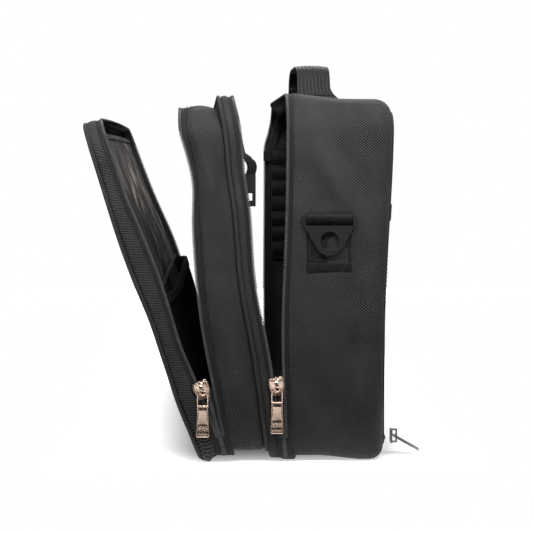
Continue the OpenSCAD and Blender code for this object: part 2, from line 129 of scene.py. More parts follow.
# One stands behind the camera for the metal to mirror, and one keeps the front light off
# the foot of the bag. The low ones stop the floor from lighting the bag from below.
for name, x0, x1, y, z0, z1 in (("back_card", -1.1, 1.0, -2.3, 0.02, 1.0),
                                ("flag", -0.8, 0.7, -0.62, 0.25, 0.60)):
    black_card(name, [(x0, y, z0), (x1, y, z0), (x1, y, z1), (x0, y, z1)])
low_z = 0.003
bag_front = -0.236
for name, x0, x1, y0, y1 in (("low_card", -1.0, 1.0, -0.42, bag_front),
                             ("low_card_front", -1.0, 1.0, -1.0, -0.60),
                             ("low_card_left", -1.0, -0.24, bag_front, 1.0),
                             ("low_card_right", 0.12, 1.0, bag_front, 1.0)):
    black_card(name, [(x0, y0, low_z), (x1, y0, low_z), (x1, y1, low_z), (x0, y1, low_z)])

# ---- Main compartment: outer cloth ----
# One length of lightly padded dobby cloth that runs up the near end, over the top, down
# the far end and under the base, with its back edges rolled round to the back panel.
MM = 0.001
UPWARD = Vector((0, 0, 1))
BACKWARD = Vector((1, 0, 0))
joints = {joint["name"]: joint for joint in frame["joints"]}


class Leaf:
    """One tray of the bag: its foot and lean, and places measured from them."""

    def __init__(self, foot, up):
        self.foot = Vector(foot)
        self.up = Vector(up).normalized()
        self.back = Vector((self.up.z, 0, -self.up.x))

    def at(self, x, y, z):
        return self.foot + self.back * x + Vector((0, y, 0)) + self.up * z


class Wire:
    """A shader value that takes part in plain arithmetic."""

    def __init__(self, finish, socket):
        self.finish = finish
        self.socket = socket

    def _maths(self, operation, *values):
        return self.finish.node("ShaderNodeMath", {"operation": operation},
                                dict(enumerate(values)))

    def __add__(self, other):
        return self._maths("ADD", self, other)

    def __radd__(self, other):
        return self._maths("ADD", other, self)

    def __sub__(self, other):
        return self._maths("SUBTRACT", self, other)

    def __rsub__(self, other):
        return self._maths("SUBTRACT", other, self)

    def __mul__(self, other):
        return self._maths("MULTIPLY", self, other)

    def __rmul__(self, other):
        return self._maths("MULTIPLY", other, self)

    def __abs__(self):
        return self._maths("ABSOLUTE", self)

    def wave(self, pitch):
        """A sine of this value that repeats every pitch."""
        return self._maths("SINE", self * (2 * math.pi / pitch))

    def clip(self, low, high):
        return self.finish.node("ShaderNodeMapRange", {"clamp": True},
                                {0: self, 1: low, 2: high})


class Finish:
    """A material on one Principled shader, with its surface built up node by node."""

    def __init__(self, name, **fixed):
        self.material = bpy.data.materials.new(name)
        self.material.use_nodes = True
        self.tree = self.material.node_tree
        self.shader = self.tree.nodes["Principled BSDF"]
        for key, value in fixed.items():
            self.shader.inputs[key.replace("_", " ")].default_value = value

    def node(self, kind, settings, sockets, out=0):
        """Adds any node, with its settings first and then its socket values or links."""
        made = self.tree.nodes.new(kind)
        for key, value in settings.items():
            setattr(made, key, value)
        for key, value in sockets.items():
            if isinstance(value, Wire):
                self.tree.links.new(value.socket, made.inputs[key])
            else:
                made.inputs[key].default_value = value
        return Wire(self, made.outputs[out])

    def place(self, kind="Object"):
        """Where a point lies in its piece, or with "UV" on its flat cloth, in metres."""
        return self.node("ShaderNodeTexCoord", {}, {}, kind)

    def parted(self, place):
        """A place as its three separate values."""
        parts = self.node("ShaderNodeSeparateXYZ", {}, {0: place})
        return [Wire(self, parts.socket.node.outputs[axis]) for axis in range(3)]

    def cloudy(self, place, size, detail=3):
        """Soft irregular variation from 0 to 1, with patches about this size."""
        return self.node("ShaderNodeTexNoise", {}, {"Vector": place, "Scale": 1 / size,
                                                    "Detail": detail})

    def blend(self, factor, low, high):
        """A colour between two colours."""
        return self.node("ShaderNodeMix", {"data_type": "RGBA"}, {0: factor, 6: low, 7: high}, 2)

    def mottle(self, size, detail, dark, light):
        """Colours the piece in soft patches from dark to light, and gives the patches."""
        patches = self.cloudy(self.place(), size, detail)
        self.feed("Base Color", self.blend(patches, dark, light))
        return patches

    def feed(self, name, wire):
        self.tree.links.new(wire.socket, self.shader.inputs[name])

    def emboss(self, height, depth, strength=1.0):
        """Raises the surface by a height from 0 to 1, times a depth in metres."""
        self.feed("Normal", self.node("ShaderNodeBump", {}, {"Height": height, "Distance": depth,
                                                             "Strength": strength}))


def grey(level, warmth=0.0):
    return (level * (1 + warmth), level, level * (1 - warmth * 0.4), 1)


def woven(name, dark, light, pitch, depth, rough):
    """A dobby cloth: staggered rows of small raised lozenges on a fine thread ground."""
    finish = Finish(name, Sheen_Weight=0.05, Sheen_Roughness=0.5, Specular_IOR_Level=0.12)
    place = finish.place("UV")
    u, v, _ = finish.parted(place)
    lozenge = (u + v * 0.8).wave(pitch) * 0.27 + (u - v * 0.8).wave(pitch) * 0.19
    thread = u.wave(pitch * 0.33) * 0.5 + v.wave(pitch * 0.33) * 0.5
    cloudy = finish.cloudy(place, 40 * MM)
    fuzz = finish.cloudy(place, 1.5 * MM, 2)
    height = lozenge + 0.5 + thread * 0.06
    tone = (height + (cloudy - 0.5) * 0.5 + (fuzz - 0.5) * 0.35).clip(0.18, 1.0)
    finish.feed("Base Color", finish.blend(tone, dark, light))
    finish.feed("Roughness", rough + (fuzz - height) * 0.12)
    finish.emboss(height, depth)
    return finish.material


shell_cloth = woven("dobby_cloth", grey(0.003, 0.04), grey(0.066, 0.04), 2.3 * MM, 0.45 * MM,
                    0.56)

main = Leaf((0, 0, 0), (0, 0, 1))


def node_box(node):
    """The low and high corners of a CAD node."""
    return [Vector(corner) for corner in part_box(node)]


main_high = node_box("main_gusset")[1]
half_length = main_high.y
bag_height = main_high.z
corner_bend = 30 * MM
foot_bend = 9 * MM
closing_x = joints["lid_hinge"]["pos_m"][0]
main_back = main_high.x
seam_in = 7.2 * MM
SIDE, BEND, TOP = 56, 8, 60  # places up each side, round each bend and along the top
tightest = 1 * MM


def outline(low, high, inset=0.0, loop=True):
    """Places round a rounded frame as (y, z, outward y, outward z, distance along).

    They start at the near foot, go over the top to the far foot and, on a loop, back
    under the base. The count is always the same, so frames of different insets match."""
    half, low, high = half_length - inset, low + inset, high - inset
    bend, foot = max(corner_bend - inset, tightest), max(foot_bend - inset, tightest)
    places = []

    def run(start, end, normal, count):
        for i in range(count):
            k = i / count
            places.append((start[0] + (end[0] - start[0]) * k, start[1] + (end[1] - start[1]) * k,
                           *normal))

    def turn(centre, radius, first):
        for i in range(BEND):
            a = math.radians(first - 90 * i / BEND)
            places.append((centre[0] + radius * math.cos(a), centre[1] + radius * math.sin(a),
                           math.cos(a), math.sin(a)))

    turn((-half + foot, low + foot), foot, 270)
    run((-half, low + foot), (-half, high - bend), (-1, 0), SIDE)
    turn((-half + bend, high - bend), bend, 180)
    run((-half + bend, high), (half - bend, high), (0, 1), TOP)
    turn((half - bend, high - bend), bend, 90)
    run((half, high - bend), (half, low + foot), (1, 0), SIDE)
    turn((half - foot, low + foot), foot, 0)
    if loop:
        run((half - foot, low), (-half + foot, low), (0, -1), TOP)
    else:
        places.append((half - foot, low, 0, -1))
    distance, out = 0.0, []
    for i, place in enumerate(places):
        if i:
            distance += math.dist(place[:2], places[i - 1][:2])
        out.append((*place, distance))
    return out


def cloth_mesh(name, rows, uv, wrap, material, thick=0.0, outward=-1.0):
    """A sheet through rows of points, with its cloth coordinates in metres."""
    count, width = len(rows), len(rows[0])
    verts = [point for row in rows for point in row]
    faces, corners = [], []
    for i in range(count if wrap else count - 1):
        after = (i + 1) % count
        for j in range(width - 1):
            faces.append((i * width + j, i * width + j + 1, after * width + j + 1,
                          after * width + j))
            corners += [uv(i, j), uv(i, j + 1), uv(i + 1, j + 1), uv(i + 1, j)]
    piece = mesh_piece(name, verts, faces, material)
    layer = piece.data.uv_layers.new(name="cloth")
    for loop, corner in zip(layer.data, corners):
        loop.uv = corner
    if thick:
        body = piece.modifiers.new("thickness", "SOLIDIFY")
        body.thickness = thick
        body.offset = outward
    return piece


def running_length(path):
    """The distance gone at each point of a path."""
    out = [0.0]
    for a, b in zip(path, path[1:]):
        out.append(out[-1] + math.dist(a, b))
    return out


def hoop(name, leaf, columns, low, high, material, thick, swell, loop=True):
    """A band of cloth round a tray. Each column is (depth, inset); swell moves a point."""
    rings = [outline(low, high, inset, loop=loop) for _, inset in columns]
    rows = []
    for i in range(len(rings[0])):
        row = []
        for j, (x, _) in enumerate(columns):
            y, z, ny, nz, _ = rings[j][i]
            dx, dn, dz = swell(x, y, z, ny)
            row.append(leaf.at(x + dx, y + ny * dn, z + nz * dn + dz))
        rows.append(row)
    reach = running_length(columns)
    along = [ring[4] for ring in rings[0]]
    along.append(along[-1] + math.dist(rings[0][0][:2], rings[0][-1][:2]))
    return cloth_mesh(name, rows, lambda i, j: (along[i], reach[j]), loop, material, thick)


def hump(value, centre, spread):
    """A smooth rise of height 1 about a centre."""
    return math.exp(-((value - centre) / spread) ** 2)


def crease(x, z, x0, z0, x1, z1, width):
    """A rise along a line between two points, fading at its ends."""
    dx, dz = x1 - x0, z1 - z0
    k = ((x - x0) * dx + (z - z0) * dz) / (dx * dx + dz * dz)
    off = abs((x - x0) * dz - (z - z0) * dx) / math.hypot(dx, dz)
    return math.exp(-(off / width) ** 2) * math.exp(-((k - 0.5) / 0.45) ** 4)


def creases(x, z, lines):
    """Several creases together, each (height, x0, z0, x1, z1, width) in millimetres."""
    return sum(line[0] * MM * crease(x, z, *(value * MM for value in line[1:])) for line in lines)


def ease(value, start, end):
    """A smooth climb from 0 at the start to 1 at the end."""
    k = min(max((value - start) / (end - start), 0.0), 1.0)
    return k * k * (3 - 2 * k)


def main_bow(y, z):
    """How the mouth of the main compartment stands off its straight frame: (depth, height)."""
    far = ease(y, 0, half_length)
    dx = -4.0 * MM * hump(z, 110 * MM, 80 * MM) * (1 - 0.8 * far)
    corner = ease(abs(y), half_length - 60 * MM, half_length) * ease(z, 255 * MM, 300 * MM)
    dz = 3.4 * MM * ease(z, 285 * MM, bag_height) - 5.0 * MM * corner * far
    dz += foot_lift(y, 0.0) * (1 - ease(z, 5 * MM, 55 * MM))
    leant = ease(y, 40 * MM, half_length) * ease(z, 266 * MM, 308 * MM)
    return dx + 8.0 * MM * leant, dz


def foot_lift(y, share):
    """The base curls up a little at the mouth side of each end."""
    return 3.9 * MM * ease(abs(y), half_length - 80 * MM, half_length) * (1 - ease(share, 0.3, 0.8))


def back_shift(z):
    """How far the back of the bag tucks in at a height."""
    return -6.4 * MM * (1 - ease(z, 110 * MM, 290 * MM))


def main_swell(x, y, z, ny):
    """Sag of the tall walls: the back edge tucks in low down and the ends crease."""
    share = min(max((x - closing_x) / (main_back - closing_x), 0), 1)
    dx = main_bow(y, z)[0] * (1 - share) ** 2 + back_shift(z) * share
    dz = foot_lift(y, share) * (1 - ease(z, 5 * MM, 55 * MM))
    dz += (3.4 * MM * (1 - ease(share, 0.0, 0.55)) - 1.4 * MM * ease(share, 0.2, 0.7)) * ease(
        z, 285 * MM, bag_height)
    ends = abs(ny)
    dn = 0.0
    if ends > 0.5:
        flat = min(share / 0.08, 1) * min((1 - share) / 0.12, 1)
        dn += 1.8 * MM * math.sin(math.pi * share) * hump(z, 190 * MM, 120 * MM)
        dn += flat * creases(x, z, ((4.6, -22, 268, 14, 206, 6), (-3.0, -6, 280, 30, 215, 7),
                                    (3.2, 30, 105, 22, 10, 4.5), (-1.8, 18, 120, 10, 20, 6),
                                    (1.4, -30, 120, 5, 60, 9)))
        dn += 1.3 * MM * noise.noise(Vector((x * 16, z * 9, y))) * flat
    elif z > bag_height / 2:
        dn += -1.2 * MM * math.cos(y / half_length * math.pi * 0.5) * math.sin(math.pi * share)
        dn += 0.9 * MM * noise.noise(Vector((x * 14, y * 9, 3))) * math.sin(math.pi * share)
    return dx, dn, dz


back_bend = 13 * MM
front_x = closing_x + seam_in
columns = [(front_x + (main_back - back_bend - front_x) * k / 22, 0.0) for k in range(22)]
columns += [(main_back - back_bend + back_bend * math.sin(math.radians(a)),
             back_bend - back_bend * math.cos(math.radians(a))) for a in range(0, 91, 15)]
main_cloth = hoop("main_cloth", main, columns, 0.3 * MM, bag_height, shell_cloth, 3.4 * MM,
                  main_swell)
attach(main_cloth, "main")
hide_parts("main_gusset", "base_panel")

# ---- Main compartment: back panel and its piping ----
# A flat panel of the same cloth over thin foam, sewn into the gusset's back edge with a
# run of cloth piping.


def panel(name, leaf, x, low, high, inset, material, thick, bulge, shift):
    """A panel that fills a rounded frame, pushed out by a bulge towards its middle."""
    rings = 18
    edge = outline(low, high, inset)
    middle_z = (low + high) / 2
    rows = []
    for y, z, _, _, _ in edge:
        row = []
        for r in range(rings + 1):
            k = 1 - r / rings
            py, pz = y * k, middle_z + (z - middle_z) * k
            dx, dz = shift(py, pz)
            row.append(leaf.at(x + dx + bulge(py, pz, k), py, pz + dz))
        rows.append(row)

    def uv(i, j):
        y, z, *_ = edge[i % len(edge)]
        k = 1 - j / rings
        return (y * k, (z - middle_z) * k)

    return cloth_mesh(name, rows, uv, True, material, thick)


def tube(name, path, radius, material):
    """A round cord through a closed ring of points."""
    sides = 8
    rows = []
    for i, point in enumerate(path):
        along = (path[(i + 1) % len(path)] - path[i - 1]).normalized()
        side = along.cross(Vector((1, 0, 0.02))).normalized()
        other = along.cross(side)
        row = []
        for s in range(sides + 1):
            a = 2 * math.pi * s / sides
            row.append(point + side * (radius * math.cos(a)) + other * (radius * math.sin(a)))
        rows.append(row)
    length = running_length(path + path[:1])
    around = 2 * math.pi * radius / sides
    return cloth_mesh(name, rows, lambda i, j: (length[i], j * around), True, material)


def smooth_cloth(name, level, rough, pitch=0.7 * MM, depth=0.12 * MM, sheen=0.06):
    """Fine twill: tape, piping and binding."""
    finish = Finish(name, Sheen_Weight=sheen, Sheen_Roughness=0.5, Specular_IOR_Level=0.15)
    place = finish.place("UV")
    u, v, _ = finish.parted(place)
    twill = (u + v).wave(pitch) * 0.5 + 0.5
    cloudy = finish.cloudy(place, 20 * MM)
    tone = (twill * 0.5 + cloudy * 0.7).clip(0.1, 1.1)
    finish.feed("Base Color", finish.blend(tone, grey(level * 0.6, 0.03), grey(level * 1.5, 0.03)))
    finish.feed("Roughness", rough + (cloudy - 0.5) * 0.2)
    finish.emboss(twill, depth)
    return finish.material


piping_cloth = smooth_cloth("piping_cloth", 0.026, 0.5)
tape_cloth = smooth_cloth("tape_cloth", 0.014, 0.62)


def back_bulge(y, z, k):
    dents = 0.8 * MM * noise.noise(Vector((y * 9, z * 11, 1)))
    return 0.9 * MM * (1 - k ** 6) + dents * (1 - k ** 4)


back_panel = panel("back_panel_cloth", main, main_back - 0.4 * MM, 0.3 * MM, bag_height,
                   back_bend, shell_cloth, 3 * MM, back_bulge, lambda y, z: (back_shift(z), 0.0))
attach(back_panel, "main")
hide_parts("back_panel")

seam_path = [main.at(main_back + back_shift(z) - 0.2 * MM, y, z)
             for y, z, *_ in outline(0.3 * MM, bag_height, back_bend)]
back_piping = tube("back_piping", seam_path, 1.5 * MM, piping_cloth)
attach(back_piping, "main")


# ---- Main compartment: lining, base board and mouth ----
# The raw edges inside the mouth are bound with narrow tape; a stiff board lies on the
# base, and the board and the far wall's loops are what shows through the opening.


def strip_hoop(name, leaf, x0, x1, low, high, inset, material, thick, bow, foot_z):
    """A narrow band round a tray's edge that stops at the zip's foot at each end."""
    steps = 3
    ring = [place for place in outline(low, high, inset, loop=False) if place[1] >= foot_z]
    rows = [[leaf.at(x0 + (x1 - x0) * j / steps + bow(y, z)[0], y, z + bow(y, z)[1])
             for j in range(steps + 1)]
            for y, z, *_ in ring]
    return cloth_mesh(name, rows, lambda i, j: (ring[min(i, len(ring) - 1)][4],
                                                (x1 - x0) * j / steps), False, material, thick, 0)


lining_cloth = smooth_cloth("lining_cloth", 0.004, 0.8, 0.8 * MM, 0.08 * MM, 0.01)
zip_start = 6 * MM
zip_foot = joints["lid_hinge"]["pos_m"][2] + zip_start
binding = strip_hoop("mouth_binding", main, front_x, front_x + 9 * MM, 0, bag_height, 4.3 * MM,
                     tape_cloth, 0.8 * MM, main_bow, zip_foot)
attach(binding, "main")
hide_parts("rim_binding")

board_plastic = Finish("board_plastic", Roughness=0.55)
board_plastic.emboss(board_plastic.mottle(3 * MM, 5, grey(0.012), grey(0.03)), 0.2 * MM)


def soft_edges(piece, width, segments, sharpest):
    """Rounds a piece's edges that turn by more than an angle in degrees."""
    soft = piece.modifiers.new("soft_edges", "BEVEL")
    soft.width = width
    soft.segments = segments
    soft.limit_method = "ANGLE"
    soft.angle_limit = math.radians(sharpest)
    soft.harden_normals = False
    piece.modifiers.new("even_shading", "WEIGHTED_NORMAL")


def refinish(node, material, bevel, segments=3):
    """Gives a carried-over CAD piece its material and softened edges."""
    piece = frame["nodes"][node]
    for slot in piece.material_slots:
        slot.material = material
    soft_edges(piece, bevel, segments, 40)


refinish("base_board", board_plastic.material, 0.6 * MM)

# ---- Zips: tapes, coils and stitching ----
# Each long zip is two tapes with a nylon coil along the meeting edge. The tape is set
# under the cloth's edge and held by a row of lockstitch.
coil_nylon = Finish("coil_nylon", Roughness=0.38, Specular_IOR_Level=0.5)
coil_nylon.feed("Roughness", 0.3 + coil_nylon.mottle(6 * MM, 3, grey(0.025), grey(0.09)) * 0.25)
thread_black = Finish("thread_black", Roughness=0.6, Sheen_Weight=0.05, Specular_IOR_Level=0.2)
thread_black.mottle(0.5 * MM, 1, grey(0.008), grey(0.035))

TOOTH = [(-1.0, 0.0), (-0.75, 0.62), (0.0, 1.0), (0.75, 0.62), (1.0, 0.0), (0.75, -0.62),
         (0.0, -1.0), (-0.75, -0.62)]


def solid_run(name, places, material, half_sizes, taper=0.75):
    """Many like small closed bars. Each place is (centre, along, across, up)."""
    verts, faces = [], []
    long, wide, tall = half_sizes
    for centre, along, across, up in places:
        start = len(verts)
        for end, shrink in ((-1, taper), (-0.6, 1.0), (0.6, 1.0), (1, taper)):
            for a, b in TOOTH:
                verts.append(centre + along * (long * end) + across * (wide * a * shrink)
                             + up * (tall * b * shrink))
        count = len(TOOTH)
        for ring in range(3):
            for i in range(count):
                j = (i + 1) % count
                base = start + ring * count
                faces.append((base + i, base + j, base + count + j, base + count + i))
        faces.append(tuple(range(start + count - 1, start - 1, -1)))
        faces.append(tuple(range(start + 3 * count, start + 4 * count)))
    return mesh_piece(name, verts, faces, material)


def paced(path, pitch, start=0.0):
    """Places along a list of (point, normal) pairs at an even pitch: point, along, normal."""
    out, travelled, wanted = [], 0.0, start
    for (a, na), (b, nb) in zip(path, path[1:]):
        length = (b - a).length
        while length and wanted <= travelled + length:
            k = (wanted - travelled) / length
            out.append((a.lerp(b, k), (b - a).normalized(), na.lerp(nb, k).normalized()))
            wanted += pitch
        travelled += length
    return out


def rim_line(leaf, x, low, high, inset, bow, foot_z):
    """A line round a tray at one depth, as (point, outward normal) pairs."""
    return [(leaf.at(x + bow(y, z)[0], y, z + bow(y, z)[1]),
             (leaf.at(0, ny, nz) - leaf.foot).normalized())
            for y, z, ny, nz, _ in outline(low, high, inset, loop=False) if z >= foot_z]


coil_pitch = 1.55 * MM
coil_loop = (0.62 * MM, 1.1 * MM)


def coil_row(name, leaf, x, low, high, bow, foot_z, body, nodes):
    """One row of zip coil: close-set loops of nylon across the tape's edge."""
    line = rim_line(leaf, x, low, high, 1 * MM, bow, foot_z)
    places = [(point, leaf.back, along, normal)
              for point, along, normal in paced(line, coil_pitch)]
    piece = solid_run(name, places, coil_nylon.material, (1.35 * MM, *coil_loop), 0.55)
    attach(piece, body)
    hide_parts(*nodes)


thread_half = (0.34 * MM, 0.3 * MM)


def stitches(name, line, body):
    """A row of lockstitch lying on the cloth."""
    length, pitch, lift = 2.7 * MM, 3.6 * MM, 0.15 * MM
    places = []
    for point, along, normal in paced(line, pitch, pitch / 2):
        across = along.cross(normal).normalized()
        places.append((point + normal * lift, along, across, normal))
    piece = solid_run(name, places, thread_black.material, (length / 2, *thread_half), 0.5)
    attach(piece, body)


tape_inner, tape_outer, coil_middle = 2.6 * MM, 9.5 * MM, 2.5 * MM
stitch_rows = (8.9 * MM, 11.8 * MM)


def zip_side(name, leaf, close_x, towards, low, high, bow, foot_z, body, nodes):
    """One half of a long zip: tape, coil and the stitch row that holds it."""
    tape = strip_hoop(name + "_tape", leaf, close_x + towards * tape_inner,
                      close_x + towards * tape_outer, low, high, 1 * MM, tape_cloth, 0.7 * MM,
                      bow, foot_z)
    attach(tape, body)
    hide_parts(nodes[0])
    coil_row(name + "_coil", leaf, close_x + towards * coil_middle, low, high, bow, foot_z, body,
             [nodes[1]])
    for count, depth in enumerate(stitch_rows):
        stitches(f"{name}_stitch_{count + 1}",
                 rim_line(leaf, close_x + towards * depth, low, high, 0, bow, foot_z), body)


zip_side("main_zip", main, closing_x, 1, 0, bag_height, main_bow, zip_foot, "main",
         ["main_zip_tape", "main_zip_coil"])

# ---- Gear loops, rim tab ----
# A ladder of black webbing sewn down inside the far end wall, with a bar of tight
# stitches between the loops, and a small folded tab on the rim above it.


def webbing_finish(name, level, rib, depth=0.35 * MM):
    """Narrow woven webbing: lengthwise ribs, with the cross threads showing between."""
    finish = Finish(name, Sheen_Weight=0.06, Sheen_Roughness=0.4, Specular_IOR_Level=0.15)
    place = finish.place("UV")
    u, v, _ = finish.parted(place)
    ribs = v.wave(rib) * 0.5 + 0.5
    picks = u.wave(1.1 * MM) * 0.5 + 0.5
    cloudy = finish.cloudy(place, 12 * MM)
    height = ribs * 0.7 + picks * (1.2 - ribs) * 0.35
    tone = (height * 0.8 + (cloudy - 0.5) * 0.6).clip(0.0, 1.1)
    finish.feed("Base Color", finish.blend(tone, grey(level * 0.45, 0.04), grey(level * 1.5, 0.04)))
    finish.feed("Roughness", 0.55 - ribs * 0.12)
    finish.emboss(height, depth)
    return finish.material


black_webbing = webbing_finish("black_webbing", 0.010, 2.3 * MM)


def strap(name, path, across, width, thick, material, columns=14):
    """Flat webbing along a path of points; across gives the direction of its width."""
    rows = []
    for point in path:
        rows.append([point + across * (width * (j / columns - 0.5)) for j in range(columns + 1)])
    length = running_length(path)
    piece = cloth_mesh(name, rows, lambda i, j: (length[i], width * j / columns), False, material,
                       thick, 0)
    edge = piece.modifiers.new("worn_edge", "BEVEL")
    edge.width = thick * 0.35
    edge.segments = 2
    edge.limit_method = "ANGLE"
    return piece


def rounded_path(points, bend):
    """The same route with each inner corner turned on a curve."""
    steps = 6
    out = [points[0]]
    for before, corner, after in zip(points, points[1:], points[2:]):
        a = corner + (before - corner).normalized() * min(bend, (before - corner).length / 2)
        b = corner + (after - corner).normalized() * min(bend, (after - corner).length / 2)
        for i in range(steps + 1):
            k = i / steps
            out.append(a.lerp(corner, k).lerp(corner.lerp(b, k), k))
    out.append(points[-1])
    return out


def divided(path, step):
    """The same route with points no further apart than a step."""
    out = [path[0]]
    for a, b in zip(path, path[1:]):
        count = max(1, math.ceil((b - a).length / step))
        out += [a.lerp(b, (i + 1) / count) for i in range(count)]
    return out


ladder_low, ladder_high = node_box("gear_loops")
loop_pitch = 17.6 * MM
first_loop = 2 * MM
ladder_x = (ladder_low.x + ladder_high.x) / 2
ladder_path = []
steps_up = 84
for i in range(steps_up + 1):
    z = ladder_low.z + (ladder_high.z - ladder_low.z) * i / steps_up
    rise = abs(math.sin(math.pi * (z - ladder_low.z - first_loop) / loop_pitch)) ** 0.6
    ladder_path.append(Vector((ladder_x, ladder_high.y - 0.9 * MM - 3.6 * MM * rise, z)))
ladder = strap("gear_loop_ladder", ladder_path, BACKWARD, 25 * MM, 1.4 * MM, black_webbing)
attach(ladder, "main")
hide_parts("gear_loops")
bars = []
tack_rows, tacks_aside, tack_pitch = 8, 6, 1.7 * MM
for i in range(tack_rows):
    z = ladder_low.z + first_loop + i * loop_pitch
    for k in range(-tacks_aside, tacks_aside + 1):
        bars.append((Vector((ladder_x + k * tack_pitch, ladder_high.y - 1.9 * MM, z)),
                     UPWARD, BACKWARD, Vector((0, -1, 0))))
tacks = solid_run("gear_loop_tacks", bars, thread_black.material, (1.8 * MM, 0.5 * MM, 0.4 * MM),
                  0.6)
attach(tacks, "main")

tab_low, tab_high = node_box("rim_tab")
tab_mid = (tab_low + tab_high) / 2
tab_path = divided(rounded_path([
    Vector((tab_high.x, tab_high.y - 0.4 * MM, tab_mid.z)),
    Vector((tab_low.x, tab_high.y - 0.4 * MM, tab_mid.z)),
    Vector((tab_low.x, tab_high.y - 3.4 * MM, tab_mid.z - 1 * MM)),
    Vector((tab_high.x, tab_high.y - 3.0 * MM, tab_mid.z - 1 * MM))], 1.4 * MM), 1 * MM)
rim_tab = strap("rim_tab_cloth", tab_path, UPWARD, 11 * MM, 0.9 * MM, tape_cloth, 6)
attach(rim_tab, "main")
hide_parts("rim_tab")

# ---- Carry handle ----
# An arch of wide ribbed webbing, folded double at the crown round a short pad, with its
# feet turned out and box-stitched flat on the top of the bag.
strap_low, strap_high = node_box("handle_strap")
handle_w = strap_high.x - strap_low.x
handle_x = (strap_high.x + strap_low.x) / 2
crown = strap_high.z - 1.2 * MM
foot_y = strap_high.y - 1.2 * MM
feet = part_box("handle_patches")
foot_end = feet[1][1]
deck = bag_height + 1.1 * MM
handle_path = divided(rounded_path([
    Vector((0, -foot_end + 2 * MM, deck)), Vector((0, -foot_y - 4 * MM, deck)),
    Vector((0, -foot_y + 3 * MM, deck + 8 * MM)), Vector((0, -foot_y + 12 * MM, crown - 6 * MM)),
    Vector((0, -foot_y + 34 * MM, crown)), Vector((0, foot_y - 34 * MM, crown)),
    Vector((0, foot_y - 12 * MM, crown - 6 * MM)), Vector((0, foot_y - 3 * MM, deck + 8 * MM)),
    Vector((0, foot_y + 4 * MM, deck)), Vector((0, foot_end - 2 * MM, deck))], 14 * MM), 3 * MM)
handle_webbing = webbing_finish("handle_webbing", 0.016, 3.4 * MM, 0.6 * MM)
handle_rows = []
handle_columns = 24
for point in handle_path:
    flare = max(0.0, 1 - (point.z - deck) / (12 * MM)) ** 1.5
    spread = 1 + 0.04 * flare
    row = []
    for j in range(handle_columns + 1):
        k = j / handle_columns - 0.5
        arch = 1.1 * MM * (1 - (2 * k) ** 2) * min((point.z - deck) / (10 * MM), 1)
        wider = 7.5 * MM * flare * (k + 0.5)
        row.append(point + Vector((handle_x + handle_w * k * spread + wider, 0, arch)))
    handle_rows.append(row)
handle_len = running_length(handle_path)
handle = cloth_mesh("handle_webbing", handle_rows,
                    lambda i, j: (handle_len[i], handle_w * j / handle_columns), False,
                    handle_webbing, 2.0 * MM, 0)
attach(handle, "main")
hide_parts("handle_strap", "handle_patches")

wrap_low, wrap_high = node_box("handle_wrap")
wrap_rows = []
wrap_span, wrap_turns = 34, 20
for i in range(wrap_span + 1):
    y = wrap_low.y + (wrap_high.y - wrap_low.y) * i / wrap_span
    fat = (1 - (2 * i / wrap_span - 1) ** 8) ** 0.5 if 0 < i < wrap_span else 0.12
    row = []
    for j in range(wrap_turns + 1):
        a = 2 * math.pi * j / wrap_turns
        wide = math.copysign(abs(math.cos(a)) ** 0.5, math.cos(a))
        half_wide = (wrap_high.x - wrap_low.x) / 2 + 1.2 * MM
        row.append(Vector((handle_x + wide * half_wide * (0.9 + 0.1 * fat), y,
                           crown - 1.6 * MM + 2.1 * MM * math.sin(a) * fat)))
    wrap_rows.append(row)
wrap = cloth_mesh("handle_grip", wrap_rows, lambda i, j: (i * 2 * MM, j * 3 * MM), False,
                  piping_cloth)
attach(wrap, "main")
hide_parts("handle_wrap")


def stitched_box(name, corner, right, up, width, height, normal, body):
    """A box of stitches, with a cross inside it, sewn through two layers of webbing."""
    a, b = corner, corner + right * width
    c, d = b + up * height, corner + up * height
    places = []
    for start, end in ((a, b), (b, c), (c, d), (d, a), (a, c), (b, d)):
        for point, along, face in paced([(start, normal), (end, normal)], 2.9 * MM, 1.4 * MM):
            places.append((point, along, along.cross(face).normalized(), face))
    piece = solid_run(name, places, thread_black.material, (1.1 * MM, *thread_half), 0.5)
    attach(piece, body)


for end, sign in (("near", -1), ("far", 1)):
    stitched_box(f"handle_stitch_{end}",
                 Vector((handle_x - handle_w / 2 + 3 * MM, sign * (foot_y + 6 * MM),
                         deck + 1.1 * MM)),
                 BACKWARD, Vector((0, sign, 0)), handle_w, 14 * MM,
                 UPWARD, "main")

